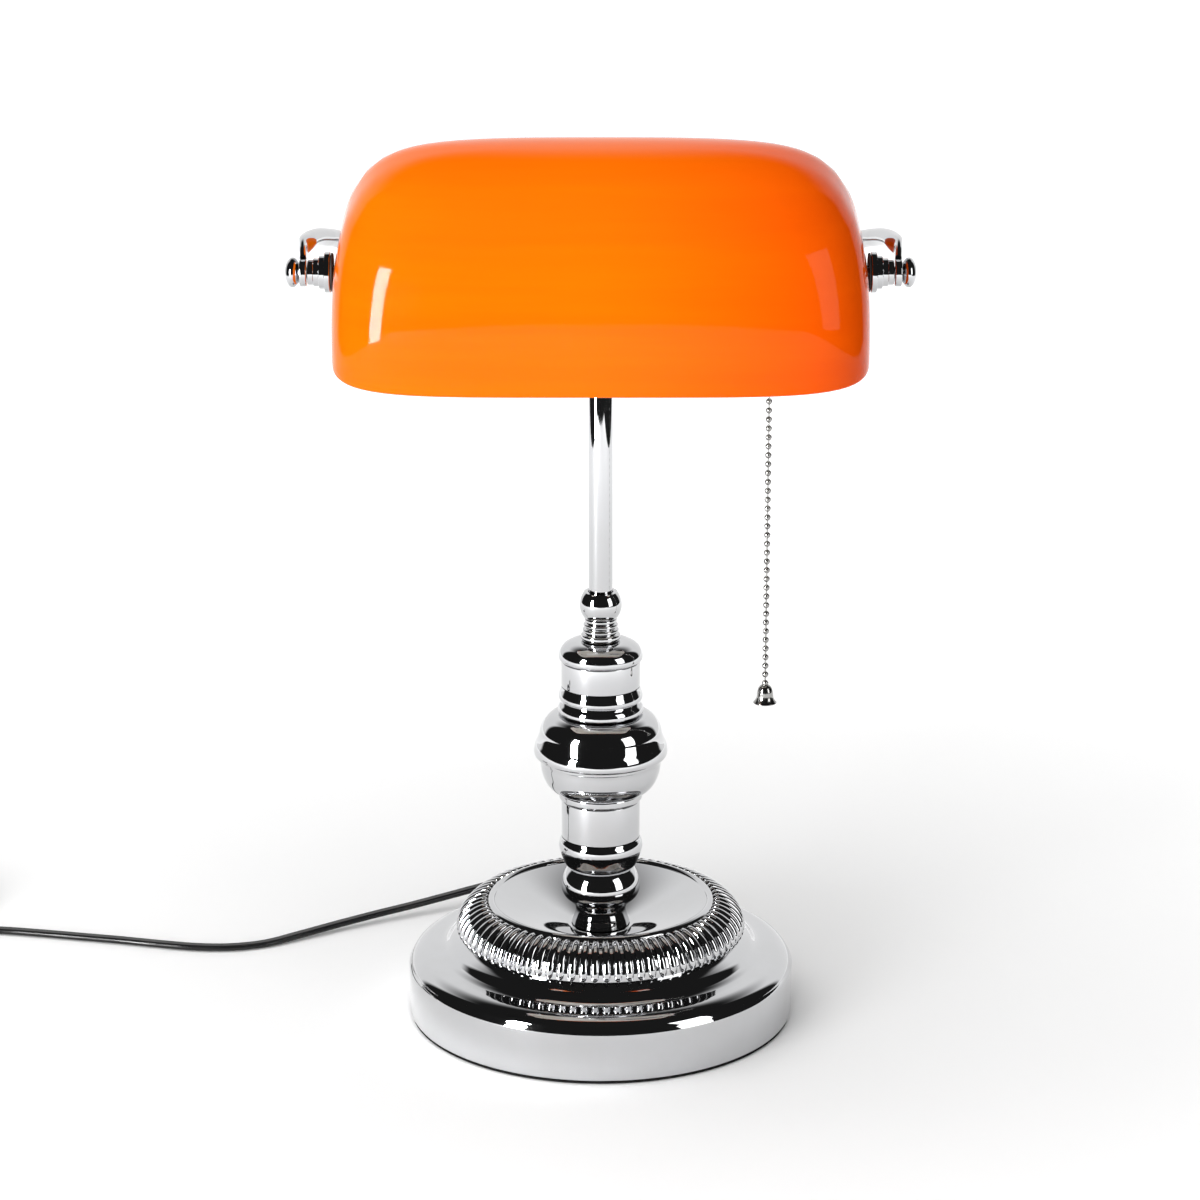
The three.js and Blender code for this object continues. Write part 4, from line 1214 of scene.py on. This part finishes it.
steelNodes = [
    "base_plate", "base_washer", "base_nut", "threaded_rod", "hub_nipple", "hub_nut", "socket_bracket",
    "socket_nipple", "socket_nut", "left_inner_nut", "right_inner_nut",
]
keptFinishes = [
    (plainSteel, steelNodes),
    (castIron, ["base_weight"]),
    (socketPhenolic, ["socket_insulator"]),
]
for finish, nodes in keptFinishes:
    for node in nodes:
        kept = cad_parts[node]
        kept.data.materials.clear()
        kept.data.materials.append(finish)
print("kept pieces finished")


# floor, room and lights

floorLook = {
    "side": 1.35,  # metres from the lamp, as are the next four
    "front": 2.2,
    "widensFrom": 0.5,
    "back": 6,
    "backSide": 1.6,
    "drop": 0.3,  # millimetres under the pad
    "glow": 0.45,
    "glowReach": (0.02, 1.1),
}


def makeFloor(look):
    side, front, opening, far, wide = (
        look[key] / mm for key in ("side", "front", "widensFrom", "back", "backSide")
    )
    right = [(side, -front), (side, opening), (wide, far)]
    line = [(x, y, -look["drop"]) for x, y in right + [(-x, y) for x, y in reversed(right)]]
    paper = makeFinish(
        {
            "name": "floorPaper",
            "color": (0.87, 0.87, 0.87),
            "second": (0.855, 0.855, 0.855),
            "spots": 3,
            "polish": (0.7, 0.8),
            "bump": (0.02, 300, 0.0001),
            "shader": {"Specular IOR Level": 0.1},
        }
    )
    # painted light: away from the lamp the paper glows, brightening into the white room
    tree = paper.node_tree
    link = tree.links.new
    place = tree.nodes.new("ShaderNodeTexCoord")
    reach = tree.nodes.new("ShaderNodeVectorMath")
    reach.operation = "LENGTH"
    start, end = look["glowReach"]
    glow = newNode(tree, "ShaderNodeMapRange", From_Min=start, From_Max=end, To_Max=look["glow"])
    surface = next(node for node in tree.nodes if node.type == "BSDF_PRINCIPLED")
    surface.inputs["Emission Color"].default_value = (1, 1, 1, 1)
    link(place.outputs["Object"], reach.inputs[0])
    link(reach.outputs["Value"], glow.inputs["Value"])
    link(glow.outputs["Result"], surface.inputs["Emission Strength"])
    floor = makePiece("studio_floor", (line, [list(range(len(line)))]), [paper])
    if floor.data.polygons[0].normal.z < 0:
        floor.data.flip_normals()


skyLook = {
    "white": 1.0,
    "dark": 0.015,
    "wedge": 0.8,  # more makes the white narrower
    "wedgeEdge": (0.06, -0.12),
    "ceilingEdge": (0.5, 0.8),
}


def makeSky(look):
    # a wedge of white behind the lamp, and dark before it, beside it and overhead
    world = bpy.data.worlds.new("studioRoom")
    scene.world = world
    world.use_nodes = True
    tree = world.node_tree
    tree.nodes.clear()
    link = tree.links.new
    output = tree.nodes.new("ShaderNodeOutputWorld")
    room = tree.nodes.new("ShaderNodeBackground")
    backdrop = newNode(tree, "ShaderNodeBackground", Color=(1, 1, 1, 1), Strength=1.0)
    pick = tree.nodes.new("ShaderNodeMixShader")
    rays = tree.nodes.new("ShaderNodeLightPath")
    direction = tree.nodes.new("ShaderNodeTexCoord")
    apart = tree.nodes.new("ShaderNodeSeparateXYZ")
    link(direction.outputs["Generated"], apart.inputs["Vector"])
    # white where the direction points further back than sideways, times the wedge
    aside = tree.nodes.new("ShaderNodeMath")
    aside.operation = "ABSOLUTE"
    link(apart.outputs["X"], aside.inputs[0])
    wedge = newNode(tree, "ShaderNodeMath")
    wedge.operation = "MULTIPLY_ADD"
    wedge.inputs[1].default_value = -look["wedge"]
    link(aside.outputs["Value"], wedge.inputs[0])
    link(apart.outputs["Y"], wedge.inputs[2])
    start, end = look["wedgeEdge"]
    front = newNode(tree, "ShaderNodeMapRange", From_Min=start, From_Max=end)
    front.interpolation_type = "SMOOTHSTEP"
    link(wedge.outputs["Value"], front.inputs["Value"])
    start, end = look["ceilingEdge"]
    high = newNode(tree, "ShaderNodeMapRange", From_Min=start, From_Max=end)
    high.interpolation_type = "SMOOTHSTEP"
    link(apart.outputs["Z"], high.inputs["Value"])
    both = tree.nodes.new("ShaderNodeMath")
    both.operation = "MAXIMUM"
    link(front.outputs["Result"], both.inputs[0])
    link(high.outputs["Result"], both.inputs[1])
    mix = tree.nodes.new("ShaderNodeMix")
    mix.data_type = "RGBA"
    mix.inputs[6].default_value = (look["white"], look["white"], look["white"], 1)
    mix.inputs[7].default_value = (look["dark"], look["dark"], look["dark"], 1)
    link(both.outputs["Value"], mix.inputs[0])
    link(mix.outputs[2], room.inputs["Color"])
    link(room.outputs["Background"], pick.inputs[1])
    link(backdrop.outputs["Background"], pick.inputs[2])
    # the camera itself sees the plain backdrop
    link(rays.outputs["Is Camera Ray"], pick.inputs[0])
    link(pick.outputs["Shader"], output.inputs["Surface"])


# a mirrored light shows only in reflections; the others give light and aren't mirrored
lightLook = {
    "tallStrip": {"place": (-1.35, -1.15, 0.18), "size": (0.36, 1.9), "power": 160, "mirrored": True},
    "rightPanel": {"place": (1.5, -1.0, 0.75), "size": (0.7, 1.3), "power": 9, "mirrored": True},
    "leftBox": {"place": (-1.5, -1.9, 0.6), "size": (1.2, 1.0), "power": 41, "mirrored": False},
    "rightBox": {"place": (1.6, -1.8, 0.6), "size": (1.2, 1.0), "power": 10, "mirrored": False},
}
lightAim = (0, 0, 0.25)


def makeLights(looks):
    for name, look in looks.items():
        lamp = bpy.data.lights.new(name, "AREA")
        lamp.shape = "RECTANGLE"
        lamp.size, lamp.size_y = look["size"]
        lamp.energy = look["power"]
        holder = bpy.data.objects.new(name, lamp)
        scene.collection.objects.link(holder)
        holder.location = look["place"]
        aim = Vector(lightAim) - Vector(look["place"])
        holder.rotation_euler = aim.to_track_quat("-Z", "Y").to_euler()
        holder.visible_glossy = look["mirrored"]
        holder.visible_diffuse = not look["mirrored"]


topLook = {"strength": 2.5, "spread": 80, "tilt": (14, -16)}


def makeTopLight(look):
    # an even light from above that leaves a soft shadow
    lamp = bpy.data.lights.new("topLight", "SUN")
    lamp.energy = look["strength"]
    lamp.angle = math.radians(look["spread"])
    holder = bpy.data.objects.new("topLight", lamp)
    scene.collection.objects.link(holder)
    holder.rotation_euler = (*map(math.radians, look["tilt"]), 0)
    holder.visible_glossy = False


makeFloor(floorLook)
makeSky(skyLook)
makeLights(lightLook)
makeTopLight(topLook)
scene.view_settings.view_transform = "Standard"
print("floor and light set")
